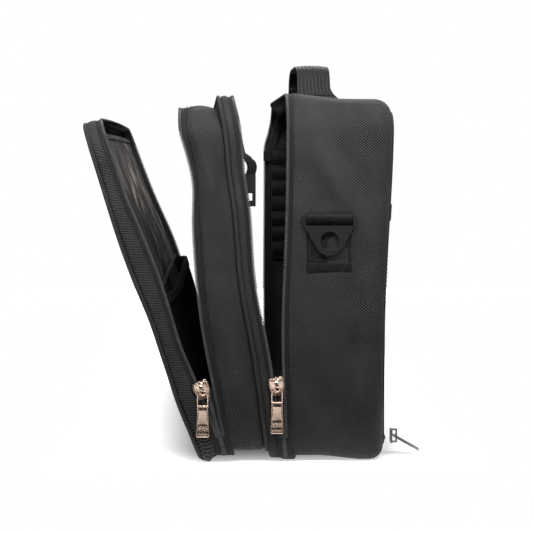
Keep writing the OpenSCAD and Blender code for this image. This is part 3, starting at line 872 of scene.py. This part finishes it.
# ---- Strap rings ----
# A moulded black triangle with a slot and a round hook hole, hung in a fold of webbing
# that is box-stitched flat on the end wall.
moulded_black = Finish("moulded_black", Roughness=0.42, Specular_IOR_Level=0.3)
scuffs = moulded_black.mottle(9 * MM, 4, grey(0.006), grey(0.016))
moulded_black.feed("Roughness", 0.40 + scuffs * 0.2)
moulded_black.emboss(moulded_black.cloudy(moulded_black.place(), 0.6 * MM, 2), 0.06 * MM)
for end, sign in (("near", -1), ("far", 1)):
    refinish(f"ring_{end}", moulded_black.material, 0.9 * MM, 4)
    low, high = node_box(f"ring_strap_{end}")
    pivot = Vector(joints[f"ring_swing_{end}"]["pos_m"])
    wall_y = sign * (half_length + 1.9 * MM)
    fold = 3.65 * MM
    route = [Vector((pivot.x, wall_y, low.z)), Vector((pivot.x, wall_y, pivot.z - 2 * MM))]
    for i in range(0, 15):
        a = math.radians(-10 + 17 * i)
        route.append(pivot + Vector((0, -sign * fold * math.cos(a), fold * math.sin(a))))
    route.append(Vector((pivot.x, wall_y + sign * 1.5 * MM, pivot.z - 6.0 * MM)))
    route.append(Vector((pivot.x, wall_y + sign * 1.0 * MM, pivot.z - 9.0 * MM)))
    webbing = strap(f"ring_webbing_{end}", divided(route, 2 * MM), BACKWARD,
                    high.x - low.x, 1.3 * MM, black_webbing, 18)
    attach(webbing, "main")
    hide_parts(f"ring_strap_{end}")
    hem = strap(f"ring_webbing_hem_{end}",
                [Vector((pivot.x, wall_y + sign * 0.9 * MM, low.z + k * MM))
                 for k in (-0.5, 3, 6.5)],
                BACKWARD, high.x - low.x + 0.6 * MM, 1.2 * MM, black_webbing, 18)
    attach(hem, "main")
    stitched_box(f"ring_stitch_{end}", Vector((low.x + 3 * MM, wall_y + sign * 0.7 * MM,
                                               low.z + 9 * MM)),
                 BACKWARD, UPWARD, high.x - low.x - 6 * MM, 24 * MM,
                 Vector((0, sign, 0)), "main")

# ---- Back pocket ----
# A flat sleeve of the shell cloth over the lower back, hemmed along its open top and
# closed along its foot by a small zip with a nickel slider.
pocket_low, pocket_high = node_box("back_pocket")
hem_low, hem_high = node_box("back_pocket_hem")
back_tape_low, back_tape_high = node_box("back_zip_tape")


def back_face(y, z, out):
    """A place on the back of the bag, over its tucked-in foot."""
    return Vector((main_back + back_shift(z) + out, y, z))


def back_patch(name, y0, y1, z0, z1, out, material, thick, puff=0.0, across=40, up=24):
    rows = []
    for i in range(across + 1):
        y = y0 + (y1 - y0) * i / across
        row = []
        for j in range(up + 1):
            z = z0 + (z1 - z0) * j / up
            flat = (1 - (2 * i / across - 1) ** 8) * (1 - (2 * j / up - 1) ** 8)
            wave = noise.noise(Vector((y * 7, z * 9, 8)))
            row.append(back_face(y, z, out + puff * flat * (1 + 0.8 * wave)))
        rows.append(row)
    piece = cloth_mesh(name, rows, lambda i, j: ((y1 - y0) * i / across, (z1 - z0) * j / up),
                       False, material, thick, 1)
    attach(piece, "main")
    return piece


sleeve = back_patch("back_sleeve", pocket_low.y, pocket_high.y, pocket_low.z, pocket_high.z,
                    1.4 * MM, shell_cloth, 1.0 * MM, 1.5 * MM)
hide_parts("back_pocket")
hem = back_patch("back_sleeve_hem", hem_low.y, hem_high.y, hem_low.z - 6 * MM, hem_high.z,
                 2.6 * MM, tape_cloth, 1.2 * MM, 0.4 * MM, 40, 6)
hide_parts("back_pocket_hem")
tape = back_patch("back_zip_band", back_tape_low.y, back_tape_high.y, back_tape_low.z - 2 * MM,
                  back_tape_high.z + 6 * MM, 0.9 * MM, tape_cloth, 0.8 * MM, 0.0, 40, 4)
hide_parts("back_zip_tape")
teeth_z = (back_tape_low.z + back_tape_high.z) / 2
tooth_pitch = 1.4 * MM
teeth = [(back_face(pocket_low.y + k * tooth_pitch, teeth_z, 2.1 * MM), UPWARD,
          Vector((0, 1, 0)), BACKWARD)
         for k in range(int((pocket_high.y - pocket_low.y) / tooth_pitch))]
small_coil = solid_run("back_zip_coil", teeth, coil_nylon.material,
                       (1.7 * MM, 0.56 * MM, 0.7 * MM), 0.6)
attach(small_coil, "main")
for count, y in enumerate((pocket_low.y + 3 * MM, pocket_high.y - 3 * MM)):
    side_line = [(back_face(y, z, 1.5 * MM), BACKWARD)
                 for z in (pocket_low.z + 8 * MM, (pocket_low.z + pocket_high.z) / 2,
                           pocket_high.z - 2 * MM)]
    stitches(f"back_sleeve_stitch_{count + 1}", side_line, "main")
stitches("back_hem_stitch", [(back_face(hem_low.y + 3 * MM, hem_low.z - 3 * MM, 3.0 * MM),
                              BACKWARD),
                             (back_face(hem_high.y - 3 * MM, hem_low.z - 3 * MM, 3.0 * MM),
                              BACKWARD)], "main")

brushed_nickel = Finish("brushed_nickel", Metallic=1.0, Roughness=0.3)
brushed_nickel.mottle(8 * MM, 3, (0.10, 0.10, 0.10, 1), (0.32, 0.31, 0.30, 1))
brushing = brushed_nickel.cloudy(brushed_nickel.place(), 1.2 * MM, 4)
brushed_nickel.feed("Roughness", 0.22 + brushing * 0.25)
for node in ("back_slider", "back_pull"):
    refinish(node, brushed_nickel.material, 0.35 * MM)

# ---- Lid: gusset, rear band, piping and divider ----
# The lid is a tray of padded cloth. Its wide gusset is quilted on thick foam and puffs
# out at the ends, a narrow band behind the piping meets the main zip, and a stiffened
# divider closes its back.
lid = Leaf(joints["lid_hinge"]["pos_m"], joints["main_zip_near"]["axis"])
flap = Leaf(joints["flap_hinge"]["pos_m"], joints["front_zip_near"]["axis"])
lid_high = bag_height - lid.foot.z
seat = flap.foot - lid.foot
lid_depth = -seat.dot(lid.back)
flap_rise = seat.dot(lid.up)
lid_low = flap_rise + 0.4 * MM
band_low = -4 * MM
band_x = -15 * MM
piped_bow = 0.75  # how much of the rear rim's wave reaches the piping


def lid_front_bow(y, z):
    """The front rim of the lid waves: in at the shoulder and bellied forward low down."""
    dx = -6.4 * MM * hump(z, 122 * MM, 82 * MM) * ease(z, 0, 35 * MM)
    dx += 3.4 * MM * hump(z, 233 * MM, 24 * MM) - 2.4 * MM * hump(z, 279 * MM, 15 * MM)
    return dx, 0.0


def lid_back_bow(y, z):
    dx = -4.3 * MM * hump(z, 145 * MM, 48 * MM) - 1.4 * MM * hump(z, 235 * MM, 20 * MM)
    dx -= 2.2 * MM * ease(z, 272 * MM, 298 * MM)
    return dx, 4.6 * MM * ease(z, 260 * MM, 298 * MM)


def lid_sag(x, z):
    """The lid's base hangs level, a little below its straight foot."""
    level = (9.2 * MM - lid.foot.z - x * lid.back.z) / lid.up.z
    return (level - lid_low) * (1 - ease(z, lid_low, lid_low + 50 * MM))


def lid_swell(x, y, z, ny):
    share = min(max((x + lid_depth) / (lid_depth + band_x), 0), 1)
    front, back = lid_front_bow(y, z), lid_back_bow(y, z)
    dx = front[0] * (1 - share) + back[0] * share * piped_bow
    dz = lid_sag(x, z) - (3.0 + 3.6 * share ** 3) * MM * ease(z, 262 * MM, 298 * MM)
    arch = math.sin(math.pi * share)
    dn = 0.0
    if abs(ny) > 0.5:
        puff = ease(z, 205 * MM, 232 * MM) * (1 - ease(z, 262 * MM, 300 * MM) * 0.4)
        dn += arch * (0.4 * MM + 5.6 * MM * puff * hump(x, -33 * MM, 14 * MM))
        dn += creases(x, z, ((1.5, -40, 212, -26, 209, 3.5), (1.2, -41, 285, -36, 235, 3)))
        dn += creases(x, z, ((-2.6, -21, 285, -24, 60, 4.5),)) * arch ** 0.5
        dn += creases(x, z, ((1.8, -38, 150, -33, 30, 5), (1.4, -28, 110, -33, 25, 5))) * arch
        dn += 1.3 * MM * noise.noise(Vector((x * 30, z * 10, y))) * arch
    elif z > lid_high / 2:
        dn += arch * (1.6 * MM + 1.6 * MM * noise.noise(Vector((x * 22, y * 13, 6))))
        dn += 2.0 * MM * hump(y, -half_length + 38 * MM, 30 * MM) * arch
    return dx, dn, dz


gusset_front = -lid_depth + seam_in
gusset_back = band_x - 1.2 * MM
columns = [(gusset_front + (gusset_back - gusset_front) * k / 16,
            1.6 * MM * hump(k, 0, 1.2) + 2.2 * MM * hump(k, 16, 1.4)) for k in range(17)]
lid_gusset = hoop("lid_gusset_cloth", lid, columns, lid_low, lid_high, shell_cloth, 3.2 * MM,
                  lid_swell)
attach(lid_gusset, "lid")
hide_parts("lid_gusset")


def band_drop(z):
    return -3.8 * MM * (1 - ease(z, band_low, 45 * MM))


def band_swell(x, y, z, ny):
    share = min(max((x - band_x) / -band_x, 0), 1)
    dx, dz = lid_back_bow(y, z)
    dz += band_drop(z)
    dn = 0.7 * MM * math.sin(math.pi * min(share * 1.6, 1))
    return dx * (piped_bow + (1 - piped_bow) * share), dn, dz


columns = [(band_x + 1.2 * MM + (-seam_in - band_x - 1.2 * MM) * k / 6,
            1.4 * MM * hump(k, 0, 0.9)) for k in range(7)]
lid_band = hoop("lid_band_cloth", lid, columns, band_low, lid_high, shell_cloth, 2.4 * MM,
                band_swell)
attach(lid_band, "lid")
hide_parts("lid_band")

piping_line = [lid.at(band_x + lid_back_bow(y, z)[0] * piped_bow, y + ny * 1.2 * MM,
                      z + nz * 0.6 * MM + lid_back_bow(y, z)[1] + lid_sag(band_x, z))
               for y, z, ny, nz, _ in outline(lid_low, lid_high, 0.6 * MM)]
lid_piping = tube("lid_piping_cord", piping_line, 1.7 * MM, piping_cloth)
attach(lid_piping, "lid")
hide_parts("lid_piping")

divider = panel("lid_divider_cloth", lid, band_x, lid_low, lid_high, 2.6 * MM,
                woven("divider_cloth", grey(0.003, 0.02), grey(0.012, 0.02), 2.6 * MM, 0.2 * MM,
                      0.7), 2.4 * MM,
                lambda y, z, k: 2.0 * MM * noise.noise(Vector((y * 7, z * 8, 2))) * (1 - k ** 3),
                lambda y, z: (lid_back_bow(y, z)[0] * piped_bow, 0.0))
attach(divider, "lid")
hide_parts("lid_divider")

zip_side("lid_zip", lid, 0.0, -1, band_low, lid_high, lid_back_bow, zip_start, "lid",
         ["lid_zip_tape", "lid_zip_coil"])
zip_side("front_zip", lid, -lid_depth, 1, lid_low, lid_high, lid_front_bow,
         flap_rise + zip_start,
         "lid", ["front_zip_tape", "front_zip_coil"])

# ---- Lid: tab and inner buckle ----
# A folded tab at the top of the lid's rear rim, and a side-release socket hung on short
# webbing that comes out of the rear band.
tab_low, tab_high = node_box("lid_tab")
tab_y = (tab_low.y + tab_high.y) / 2
tab_route = divided(rounded_path([lid.at(-8 * MM, tab_y, lid_high - 22 * MM),
                                  lid.at(-4.5 * MM, tab_y, lid_high - 26 * MM),
                                  lid.at(-3.6 * MM, tab_y, lid_high - 38 * MM),
                                  lid.at(-2.6 * MM, tab_y, lid_high - 49 * MM)], 4 * MM), 2 * MM)
lid_tab = strap("lid_tab_cloth", tab_route, Vector((0.5, 0.86, 0)), 10 * MM, 1.6 * MM,
                tape_cloth, 6)
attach(lid_tab, "lid")
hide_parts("lid_tab")

buckle_pivot = Vector(joints["buckle_swing"]["pos_m"])
root = lid.at(-12 * MM, buckle_pivot.y, (buckle_pivot - lid.foot).dot(lid.up) + 24 * MM)
buckle_route = divided(rounded_path([root + Vector((0, 0, -1 * MM)),
                                     root + Vector((11 * MM, 0, -6 * MM)),
                                     buckle_pivot + Vector((3.0 * MM, 0, 8 * MM)),
                                     buckle_pivot + Vector((0, 0, -3 * MM))], 7 * MM), 2 * MM)
buckle_web = strap("buckle_webbing", buckle_route, Vector((0.40, 0.92, 0)), 19 * MM, 1.5 * MM,
                   black_webbing, 10)
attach(buckle_web, "lid")
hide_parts("buckle_strap")
refinish("buckle_socket", moulded_black.material, 0.8 * MM, 4)

# ---- Front flap ----
# A shallow tray: an outer panel of the shell cloth, piped round its edge, and a narrow
# band that carries the front zip. The whole flap bellies out from its own weight.
flap_depth = 15 * MM
flap_low = 1 * MM
flap_high = lid_high - flap_rise + 4 * MM


def flap_bow(y, z):
    """The open rim: nearly straight at the near end and eased forward at the far end."""
    far = ease(y, -half_length, half_length)
    near_dx = 1.4 * MM * hump(z, 160 * MM, 30 * MM) - 1.8 * MM * hump(z, 92 * MM, 25 * MM)
    near_dx -= 1.2 * MM * hump(z, 228 * MM, 22 * MM)
    far_dx = (1.3 * MM + 4.5 * MM * hump(z, 150 * MM, 50 * MM)) * ease(z, 0, 60 * MM)
    crown = 3.4 * MM * (1 - ((y + 80 * MM) / (250 * MM)) ** 2) * ease(z, 235 * MM, flap_high)
    return near_dx * (1 - far) + far_dx * far, crown


def flap_outer_bow(y, z):
    """The padded outer panel bellies forward of its straight frame."""
    dx = -1.6 * MM - 5.0 * MM * (1 - ease(z, 175 * MM, 300 * MM))
    dx += -1.4 * MM * hump(z, 45 * MM, 24 * MM) + 1.3 * MM * hump(z, 120 * MM, 25 * MM)
    return dx, flap_bow(y, z)[1]


def flap_toe(share, z):
    """The foot of the flap rolls under and down to the floor."""
    reach = 6.0 * MM + 5.0 * MM * math.sin(math.pi * min(max(1 - share, 0), 1) ** 1.4)
    return -reach * (1 - ease(z, 0, 34 * MM))


def flap_swell(x, y, z, ny):
    share = min(max((x + flap_depth) / (flap_depth - seam_in), 0), 1)
    outer, inner = flap_outer_bow(y, z), flap_bow(y, z)
    dx = outer[0] * (1 - share) + inner[0] * share
    return dx, 0.8 * MM * math.sin(math.pi * share), inner[1] + flap_toe(share, z)


def flap_sag(y, z, k):
    middle = 1 - k ** 3
    dents = noise.noise(Vector((y * 6, z * 8, 5))) * 2.0 * MM
    return middle * (-2.0 * MM + dents)


flap_panel = panel("flap_panel_cloth", flap, -flap_depth + 0.4 * MM, flap_low, flap_high, 0.8 * MM,
                   shell_cloth, 2.2 * MM, flap_sag, flap_outer_bow)
flap_panel.modifiers["thickness"].offset = 1
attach(flap_panel, "flap")
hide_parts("flap_panel")

columns = [(-flap_depth + 0.6 * MM + (flap_depth - seam_in - 0.6 * MM) * k / 7,
            1.2 * MM * hump(k, 0, 0.9)) for k in range(8)]
flap_band = hoop("flap_band_cloth", flap, columns, flap_low, flap_high, shell_cloth, 2.0 * MM,
                 flap_swell, loop=False)
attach(flap_band, "flap")
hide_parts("flap_band")

flap_line = [flap.at(-flap_depth + flap_outer_bow(y, z)[0], y + ny * 0.6 * MM,
                     z + flap_outer_bow(y, z)[1] + flap_toe(0, z))
             for y, z, ny, nz, _ in outline(flap_low, flap_high, 0.4 * MM)]
flap_piping = tube("flap_piping_cord", flap_line, 1.7 * MM, piping_cloth)
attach(flap_piping, "flap")
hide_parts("flap_piping")
zip_side("flap_zip", flap, 0.0, -1, flap_low, flap_high, flap_bow, zip_start, "flap",
         ["flap_zip_tape", "flap_zip_coil"])

# ---- Flap: lining and pockets ----
# A dark lining, a clear vinyl document pocket over the upper half with a bound edge, and
# a gathered mesh pocket over the lower half.
lining_x = -flap_depth + 3.2 * MM
flap_lining = panel("flap_lining_cloth", flap, lining_x, flap_low, flap_high, 3.2 * MM,
                    lining_cloth, 0.6 * MM,
                    lambda y, z, k: 0.8 * flap_sag(y, z, k), flap_outer_bow)
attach(flap_lining, "flap")
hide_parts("flap_lining")


def flap_sheet(name, z0, z1, depth, material, thick, across, up):
    """A sheet inside the flap between two heights; depth gives its stand-off at a place."""
    side = 8 * MM
    rows = []
    for i in range(across + 1):
        k = 2 * i / across - 1
        row = []
        for j in range(up + 1):
            z = z0 + (z1 - z0) * j / up
            over = max(0.0, z - (flap_high - corner_bend))
            reach = half_length - side
            if over > 0:
                reach -= corner_bend - math.sqrt(max(corner_bend ** 2 - over ** 2, 0))
            y = k * reach
            bow_x, bow_z = flap_bow(y, z)
            row.append(flap.at(lining_x + bow_x + depth(y, z, k, j / up), y, z + bow_z))
        rows.append(row)
    wide = 2 * (half_length - side)
    piece = cloth_mesh(name, rows, lambda i, j: (wide * i / across, (z1 - z0) * j / up), False,
                       material, thick, 0)
    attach(piece, "flap")
    return piece


# The film's colour and opacity carry painted highlight streaks: warmer, lighter and more opaque
# along stretched noise, standing in for reflected light. The streak noise also ripples the bump,
# and the broad haze noise also varies roughness.
vinyl = Finish("clear_vinyl", Roughness=0.12, Specular_IOR_Level=0.5, IOR=1.45)
place = vinyl.place("UV")
u, v, _ = vinyl.parted(place)
streaked = vinyl.node("ShaderNodeCombineXYZ", {}, {0: u * 1.1 - v * 0.35, 1: v * 0.22})
ripple_and_highlight = vinyl.cloudy(streaked, 14 * MM, 3)
haze_and_highlight = vinyl.cloudy(place, 60 * MM, 2)
# Mask of the painted highlight streaks in the film's colour and opacity.
painted_highlight = (ripple_and_highlight + (haze_and_highlight - 0.5) * 0.5).clip(0.50, 0.74)
vinyl.feed("Base Color", vinyl.blend(painted_highlight, (0.30, 0.28, 0.28, 1), (0.92, 0.80, 0.71, 1)))
vinyl.feed("Alpha", 0.10 + painted_highlight * 0.50)
vinyl.feed("Roughness", 0.14 + haze_and_highlight * 0.2)
vinyl.emboss(ripple_and_highlight, 2.0 * MM)


def film_depth(y, z, k, rise):
    edge = (1 - k ** 6) * math.sin(math.pi * min(rise * 1.05, 1)) ** 0.5
    wave = 1.4 * MM * math.sin(y * 95 + 2.2 * math.sin(z * 31)) + 1.1 * MM * math.sin(
        y * 41 - z * 60)
    return 3.6 * MM + edge * (1.6 * MM + wave)


film_low, film_high = 138 * MM, flap_high - 14 * MM
film = flap_sheet("clear_film", film_low, film_high, film_depth, vinyl.material, 0.35 * MM, 120, 50)
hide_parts("clear_pocket")
for count, z in enumerate((film_low, film_high)):
    bound = flap_sheet(f"film_binding_{count + 1}", z - 2 * MM, z + 2 * MM,
                       lambda y, z, k, rise: 4.6 * MM, tape_cloth, 1.2 * MM, 60, 4)

mesh_cloth = Finish("pocket_mesh", Roughness=0.8, Specular_IOR_Level=0.08)
place = mesh_cloth.place("UV")
u, v, _ = mesh_cloth.parted(place)
holes = u.wave(1.6 * MM) * v.wave(1.6 * MM)
mesh_cloth.feed("Base Color", mesh_cloth.blend((holes * 0.5 + 0.5).clip(0, 1), grey(0.001),
                                               grey(0.005)))
mesh_cloth.emboss(holes, 0.25 * MM)


def pleat_depth(y, z, k, rise):
    """Vertical gathers on a belly that stands out of the flap."""
    pleat_pitch, stand_out = 11 * MM, 15.5 * MM
    fold = math.sin(y * 2 * math.pi / pleat_pitch + 0.8 * math.sin(z * 40))
    belly = stand_out * (1 - k ** 10) * math.sin(math.pi * min(rise, 1) ** 0.8 * 0.66) ** 0.8
    return 3.0 * MM + belly + 1.6 * MM * fold * (0.3 + 0.7 * rise) * (1 - k ** 8)


mesh_low, mesh_high = 13 * MM, 134 * MM
pleat_columns = 260
mesh_pocket = flap_sheet("gathered_pocket", mesh_low, mesh_high, pleat_depth, mesh_cloth.material,
                         0.7 * MM, pleat_columns, 28)
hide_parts("pleated_pocket")
elastic = flap_sheet("gathered_pocket_elastic", mesh_high - 7 * MM, mesh_high + 2 * MM,
                     lambda y, z, k, rise: pleat_depth(y, 130 * MM, k, 0.95) + 0.9 * MM,
                     lining_cloth, 1.2 * MM, pleat_columns, 4)

# ---- Cloth hinges ----
# The trays are joined at their feet by the base cloth itself: one strip turns up into the
# lid, and the flap's panel rolls under its own foot and is sewn to the lid's base.
half_hinge = half_length - foot_bend


def hinge_cloth(name, route, end, nodes):
    """A full-length strip of cloth laid on a bent route between two trays."""
    across = 50
    path = divided(rounded_path(route, 8 * MM), 2.5 * MM)
    rows = []
    for i in range(across + 1):
        y = -half_hinge + 2 * half_hinge * i / across
        rows.append([point + Vector((0.4 * MM * math.sin(y * 60), y, 0)) for point in path])
    reach = running_length(path)
    piece = cloth_mesh(name, rows, lambda i, j: (2 * half_hinge * i / across, reach[j]), False,
                       shell_cloth, 1.6 * MM, 0)
    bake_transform(piece)
    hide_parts(*nodes)


base_edge = Vector((front_x + 2 * MM, 0, 1.4 * MM))
lid_edge = lid.at(-9 * MM, 0, band_low + 1.5 * MM)
hinge_cloth("lid_hinge_cloth", [base_edge, Vector((closing_x - 4 * MM, 0, 1.3 * MM)), lid_edge],
            lid_edge, ["lid_hinge_strip"])
fold_route = [flap.at(-flap_depth + flap_outer_bow(0, z)[0], 0, z) for z in (10 * MM, 0)]
fold_route += [flap.foot + Vector((x, 0, z)) * MM
               for x, z in ((-19.5, -13.2), (-13.5, -14.6), (-7.0, -11.0), (-1.0, -6.6),
                            (8.0, -5.2))]
hinge_cloth("flap_fold_cloth", fold_route,
            flap.at(-flap_depth, 0, 4 * MM), ["flap_fold"])


def zip_web(name, back_leaf, back_bow, back_x, front_leaf, front_bow, front_x, low, high,
            sign):
    """The closed foot of a long zip, from the floor edge up to its slider."""
    rows, coil = [], []
    up, across = 24, 12
    for j in range(up + 1):
        k = j / up
        rise = low + (high - low) * k
        under = 5.0 * MM * (1 - min(rise / foot_bend, 1)) ** 2
        y = sign * (half_length - 1.6 * MM - under)
        a = back_leaf.at(back_x + back_bow(y, rise)[0], y, 0)
        b = front_leaf.at(front_x + front_bow(y, rise)[0], y, 0)
        a += back_leaf.up * (rise - a.z) * (1 / back_leaf.up.z)
        b += front_leaf.up * (rise - b.z) * (1 / front_leaf.up.z)
        row = []
        for i in range(across + 1):
            rib = 0.9 * MM * abs(math.sin(math.pi * 2 * i / across))
            row.append(a.lerp(b, i / across) + Vector((0, sign * rib, 0)))
        rows.append(row)
        coil.append((a.lerp(b, 0.5), Vector((0, sign, 0))))
    web = cloth_mesh(name, rows, lambda i, j: (i * 3 * MM, j * 2 * MM), False, tape_cloth,
                     0.9 * MM, 0)
    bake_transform(web)
    places = [(point + normal * 0.5 * MM, back_leaf.back, along, normal)
              for point, along, normal in paced(coil, coil_pitch)]
    closed = solid_run(name + "_coil", places, coil_nylon.material, (2.1 * MM, *coil_loop), 0.55)
    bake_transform(closed)


web_edge = 9 * MM
for end, sign in (("near", -1), ("far", 1)):
    zip_web(f"main_zip_web_{end}", main, main_bow, front_x + 3 * MM, lid, lid_back_bow,
            -web_edge, 3.6 * MM, 61 * MM, sign)
    zip_web(f"front_zip_web_{end}", lid, lid_front_bow, -lid_depth + web_edge, flap, flap_bow,
            -web_edge, 6.5 * MM, 64 * MM, sign)

# ---- Zip sliders and pulls ----
# Large die-cast sliders with a bridge, and a long framed bar on a loop, all plated in
# polished rose gold.
rose_gold = Finish("rose_gold", Metallic=1.0, Roughness=0.16)
wear = rose_gold.mottle(7 * MM, 4, (0.58, 0.42, 0.33, 1), (0.84, 0.66, 0.54, 1))
fine = rose_gold.cloudy(rose_gold.place(), 0.8 * MM, 2)
rose_gold.feed("Roughness", 0.17 + wear * 0.10 + fine * 0.04)

SHIELD = [(0, 7.6), (1.5, 6.5), (3.4, 7.5), (6.0, 7.2), (6.9, 4.4), (6.4, 0.6), (5.3, -3.6),
          (4.8, -7.5), (-4.8, -7.5), (-5.3, -3.6), (-6.4, 0.6), (-6.9, 4.4), (-6.0, 7.2),
          (-3.4, 7.5), (-1.5, 6.5)]


class Casting:
    """One die-cast piece, built up from closed bodies placed across, up and out."""

    def __init__(self, origin, across, up, out):
        self.origin, self.across, self.up, self.out = origin, across, up, out
        self.verts, self.faces = [], []

    def place(self, u, v, w):
        return self.origin + (self.across * u + self.up * v + self.out * w) * MM

    def layers(self, rings):
        """A closed body through rings of (u, v, w) points, all of one count."""
        start, count = len(self.verts), len(rings[0])
        self.verts += [self.place(*point) for ring in rings for point in ring]
        for r in range(len(rings) - 1):
            for i in range(count):
                j, base = (i + 1) % count, start + r * count
                self.faces.append((base + i, base + j, base + count + j, base + count + i))
        self.faces.append(tuple(range(start + count - 1, start - 1, -1)))
        last = start + (len(rings) - 1) * count
        self.faces.append(tuple(range(last, last + count)))

    def plate(self, shape, w0, w1, crown=0.0):
        """A flat plate of a drawn shape with softened edges and a crowned outer face."""
        edge = 0.35
        cu = sum(u for u, _ in shape) / len(shape)
        cv = sum(v for _, v in shape) / len(shape)

        def ring(w, taken):
            size = 1 - taken / 6
            return [(cu + (u - cu) * size, cv + (v - cv) * (1 - taken / 8), w) for u, v in shape]

        self.layers([ring(w0, edge), ring(w0 + edge * 0.6, 0), ring(w1 - edge * 0.6, 0),
                     ring(w1, edge), ring(w1 + crown * 0.7, 2.4), ring(w1 + crown, 4.6)])

    def rod(self, route, wide, tall, sides=10):
        """A rounded bar through a route of (u, v, w) points, wide across the bag's side."""
        rings = []
        for i, (u, v, w) in enumerate(route):
            ahead, behind = route[min(i + 1, len(route) - 1)], route[max(i - 1, 0)]
            along = Vector(ahead) - Vector(behind)
            along.normalize()
            side = BACKWARD if abs(along.x) < 0.7 else Vector((0, 1, 0))
            side = (side - along * side.dot(along)).normalized()
            other = along.cross(side)
            ring = []
            for k in range(sides):
                angle = 2 * math.pi * k / sides
                ring.append(tuple(Vector((u, v, w)) + side * (wide * math.cos(angle))
                                  + other * (tall * math.sin(angle))))
            rings.append(ring)
        self.layers(rings)

    def finish(self, name, material):
        piece = mesh_piece(name, self.verts, self.faces, material)
        soft_edges(piece, 0.22 * MM, 2, 35)
        return piece


def cast_slider(name, centre, across, up, out, node):
    """Two shield plates on a post, with an arched bridge over the front one."""
    cast = Casting(centre, across, up, out)
    cast.plate(SHIELD, 1.8, 3.1, 0.5)
    cast.plate([(u * 0.98, v) for u, v in SHIELD], -3.0, -1.8)
    cast.rod([(0, 6.8, -2.2), (0, 6.8, 2.4)], 1.1, 1.4)
    for side in (-1, 1):
        cast.rod([(side * 5.7, 6.2, 2.6), (side * 6.3, 4.2, 3.2), (side * 5.9, 1.0, 3.2),
                  (side * 4.9, -3.4, 3.0), (side * 4.4, -6.6, 2.6)], 0.75, 0.8)
        cast.rod([(side * 2.3, 7.2, 2.8), (side * 3.4, 6.6, 3.8), (side * 4.8, 6.8, 3.6),
                  (side * 5.7, 6.2, 2.8)], 0.7, 0.7)
    arch = []
    for i in range(11):
        angle = math.radians(170 - 160 * i / 10)
        arch.append((0, 0.8 - 6.0 * math.cos(angle), 3.0 + 4.6 * math.sin(angle)))
    cast.rod(arch, 1.7, 0.75, 12)
    cast.rod([(0, 5.9, 2.8), (0, 6.6, 4.4), (0, 5.4, 5.0)], 2.5, 0.7, 12)
    cast.rod([(0, -4.4, 2.8), (0, -5.4, 3.9), (0, -4.2, 4.6)], 2.2, 0.7, 12)
    piece = cast.finish(name, rose_gold.material)
    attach(piece, node)
    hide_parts(node)


def cast_pull(name, hinge, across, up, out, node, reach):
    """A round loop that carries a long framed bar with a sunk face and a rounded end."""
    cast = Casting(hinge, across, up, out)
    loop_end = -12.6
    left = [(-4.3, loop_end, 0), (-4.35, -6.5, 0), (-4.1, -2.2, 0), (-3.2, -0.5, 0), (-1.6, 0, 0)]
    right = [(-u, v, w) for u, v, w in reversed(left)]
    cast.rod(left + right, 0.85, 0.8, 12)
    cast.rod([(-4.9, -12.4, 0), (4.9, -12.4, 0)], 0.95, 1.0, 12)
    rows = 30
    section = [(-1.0, -0.75), (-1.0, 0.45), (-0.92, 0.95), (-0.80, 0.95), (-0.70, 0.30),
               (-0.35, 0.12), (0.35, 0.12), (0.70, 0.30), (0.80, 0.95), (0.92, 0.95),
               (1.0, 0.45), (1.0, -0.75)]
    rings = []
    for i in range(rows + 1):
        k = i / rows
        v = loop_end - (reach + loop_end) * k
        half = 4.8 + 0.8 * k
        closing = min(1.0, (1 - k) / 0.035)
        half *= 0.86 + 0.14 * closing
        sunk = ease(k, 0.05, 0.10) * (1 - ease(k, 0.79, 0.86))
        ridge = 1.1 * max(0.0, (k - 0.08) / 0.7) ** 2 + 0.22 * hump(k, 0.64, 0.03)
        bulge = 0.5 * ease(k, 0.84, 0.92) * closing
        ring = []
        for u, w in section:
            if abs(u) < 0.78:
                w = 0.85 + (w - 0.85) * sunk + ridge * sunk + bulge * (1 - abs(u))
            ring.append((u * half, v, w * (0.7 + 0.3 * closing)))
        rings.append(ring)
    cast.layers(rings)
    piece = cast.finish(name, rose_gold.material)
    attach(piece, node)
    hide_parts(node)


pull_out = 4.8 * MM
pull_drop = 1.0 * MM
for group, leaf in (("main", lid), ("front", flap)):
    for end, sign in (("near", -1), ("far", 1)):
        hinge = Vector(joints[f"{group}_pull_swing_{end}"]["pos_m"])
        across, out = leaf.back * -sign, Vector((0, sign, 0))
        centre = hinge - out * pull_out + leaf.up * pull_drop
        cast_slider(f"{group}_slider_cast_{end}", centre, across, leaf.up, out,
                    f"{group}_slider_{end}")
        reach = (hinge.z - node_box(f"{group}_pull_{end}")[0].z) / MM
        cast_pull(f"{group}_pull_cast_{end}", hinge, Vector((-sign, 0, 0)), UPWARD, out,
                  f"{group}_pull_{end}", reach)

# ---- Floor ----
# A flat white floor that glows a little away from the bag, so that it stays white to its
# edges and the bag still shades it close by.
floor_white = Finish("floor_white", Roughness=0.8, Specular_IOR_Level=0.1, Emission_Strength=1.0)
x, y, _ = floor_white.parted(floor_white.place())
beside = (abs(x + 0.04) - 0.085).clip(0, 0.055)
beyond = (abs(y) - 0.145).clip(0, 0.08)
glow = (beside + beyond * beyond).clip(0, 1)
floor_white.feed("Emission Color", floor_white.blend(glow, grey(0.10), grey(1.0)))
floor_white.mottle(2 * MM, 2, grey(0.88), grey(0.92))
floor_half = 1.1
floor_back = 1.2
floor_z = -0.0004
floor = mesh_piece("floor", [(x, y, floor_z) for x, y in ((-floor_half, -floor_half),
                                                          (floor_half, -floor_half),
                                                          (floor_half, floor_back),
                                                          (-floor_half, floor_back))],
                   [(0, 1, 2, 3)], floor_white.material)
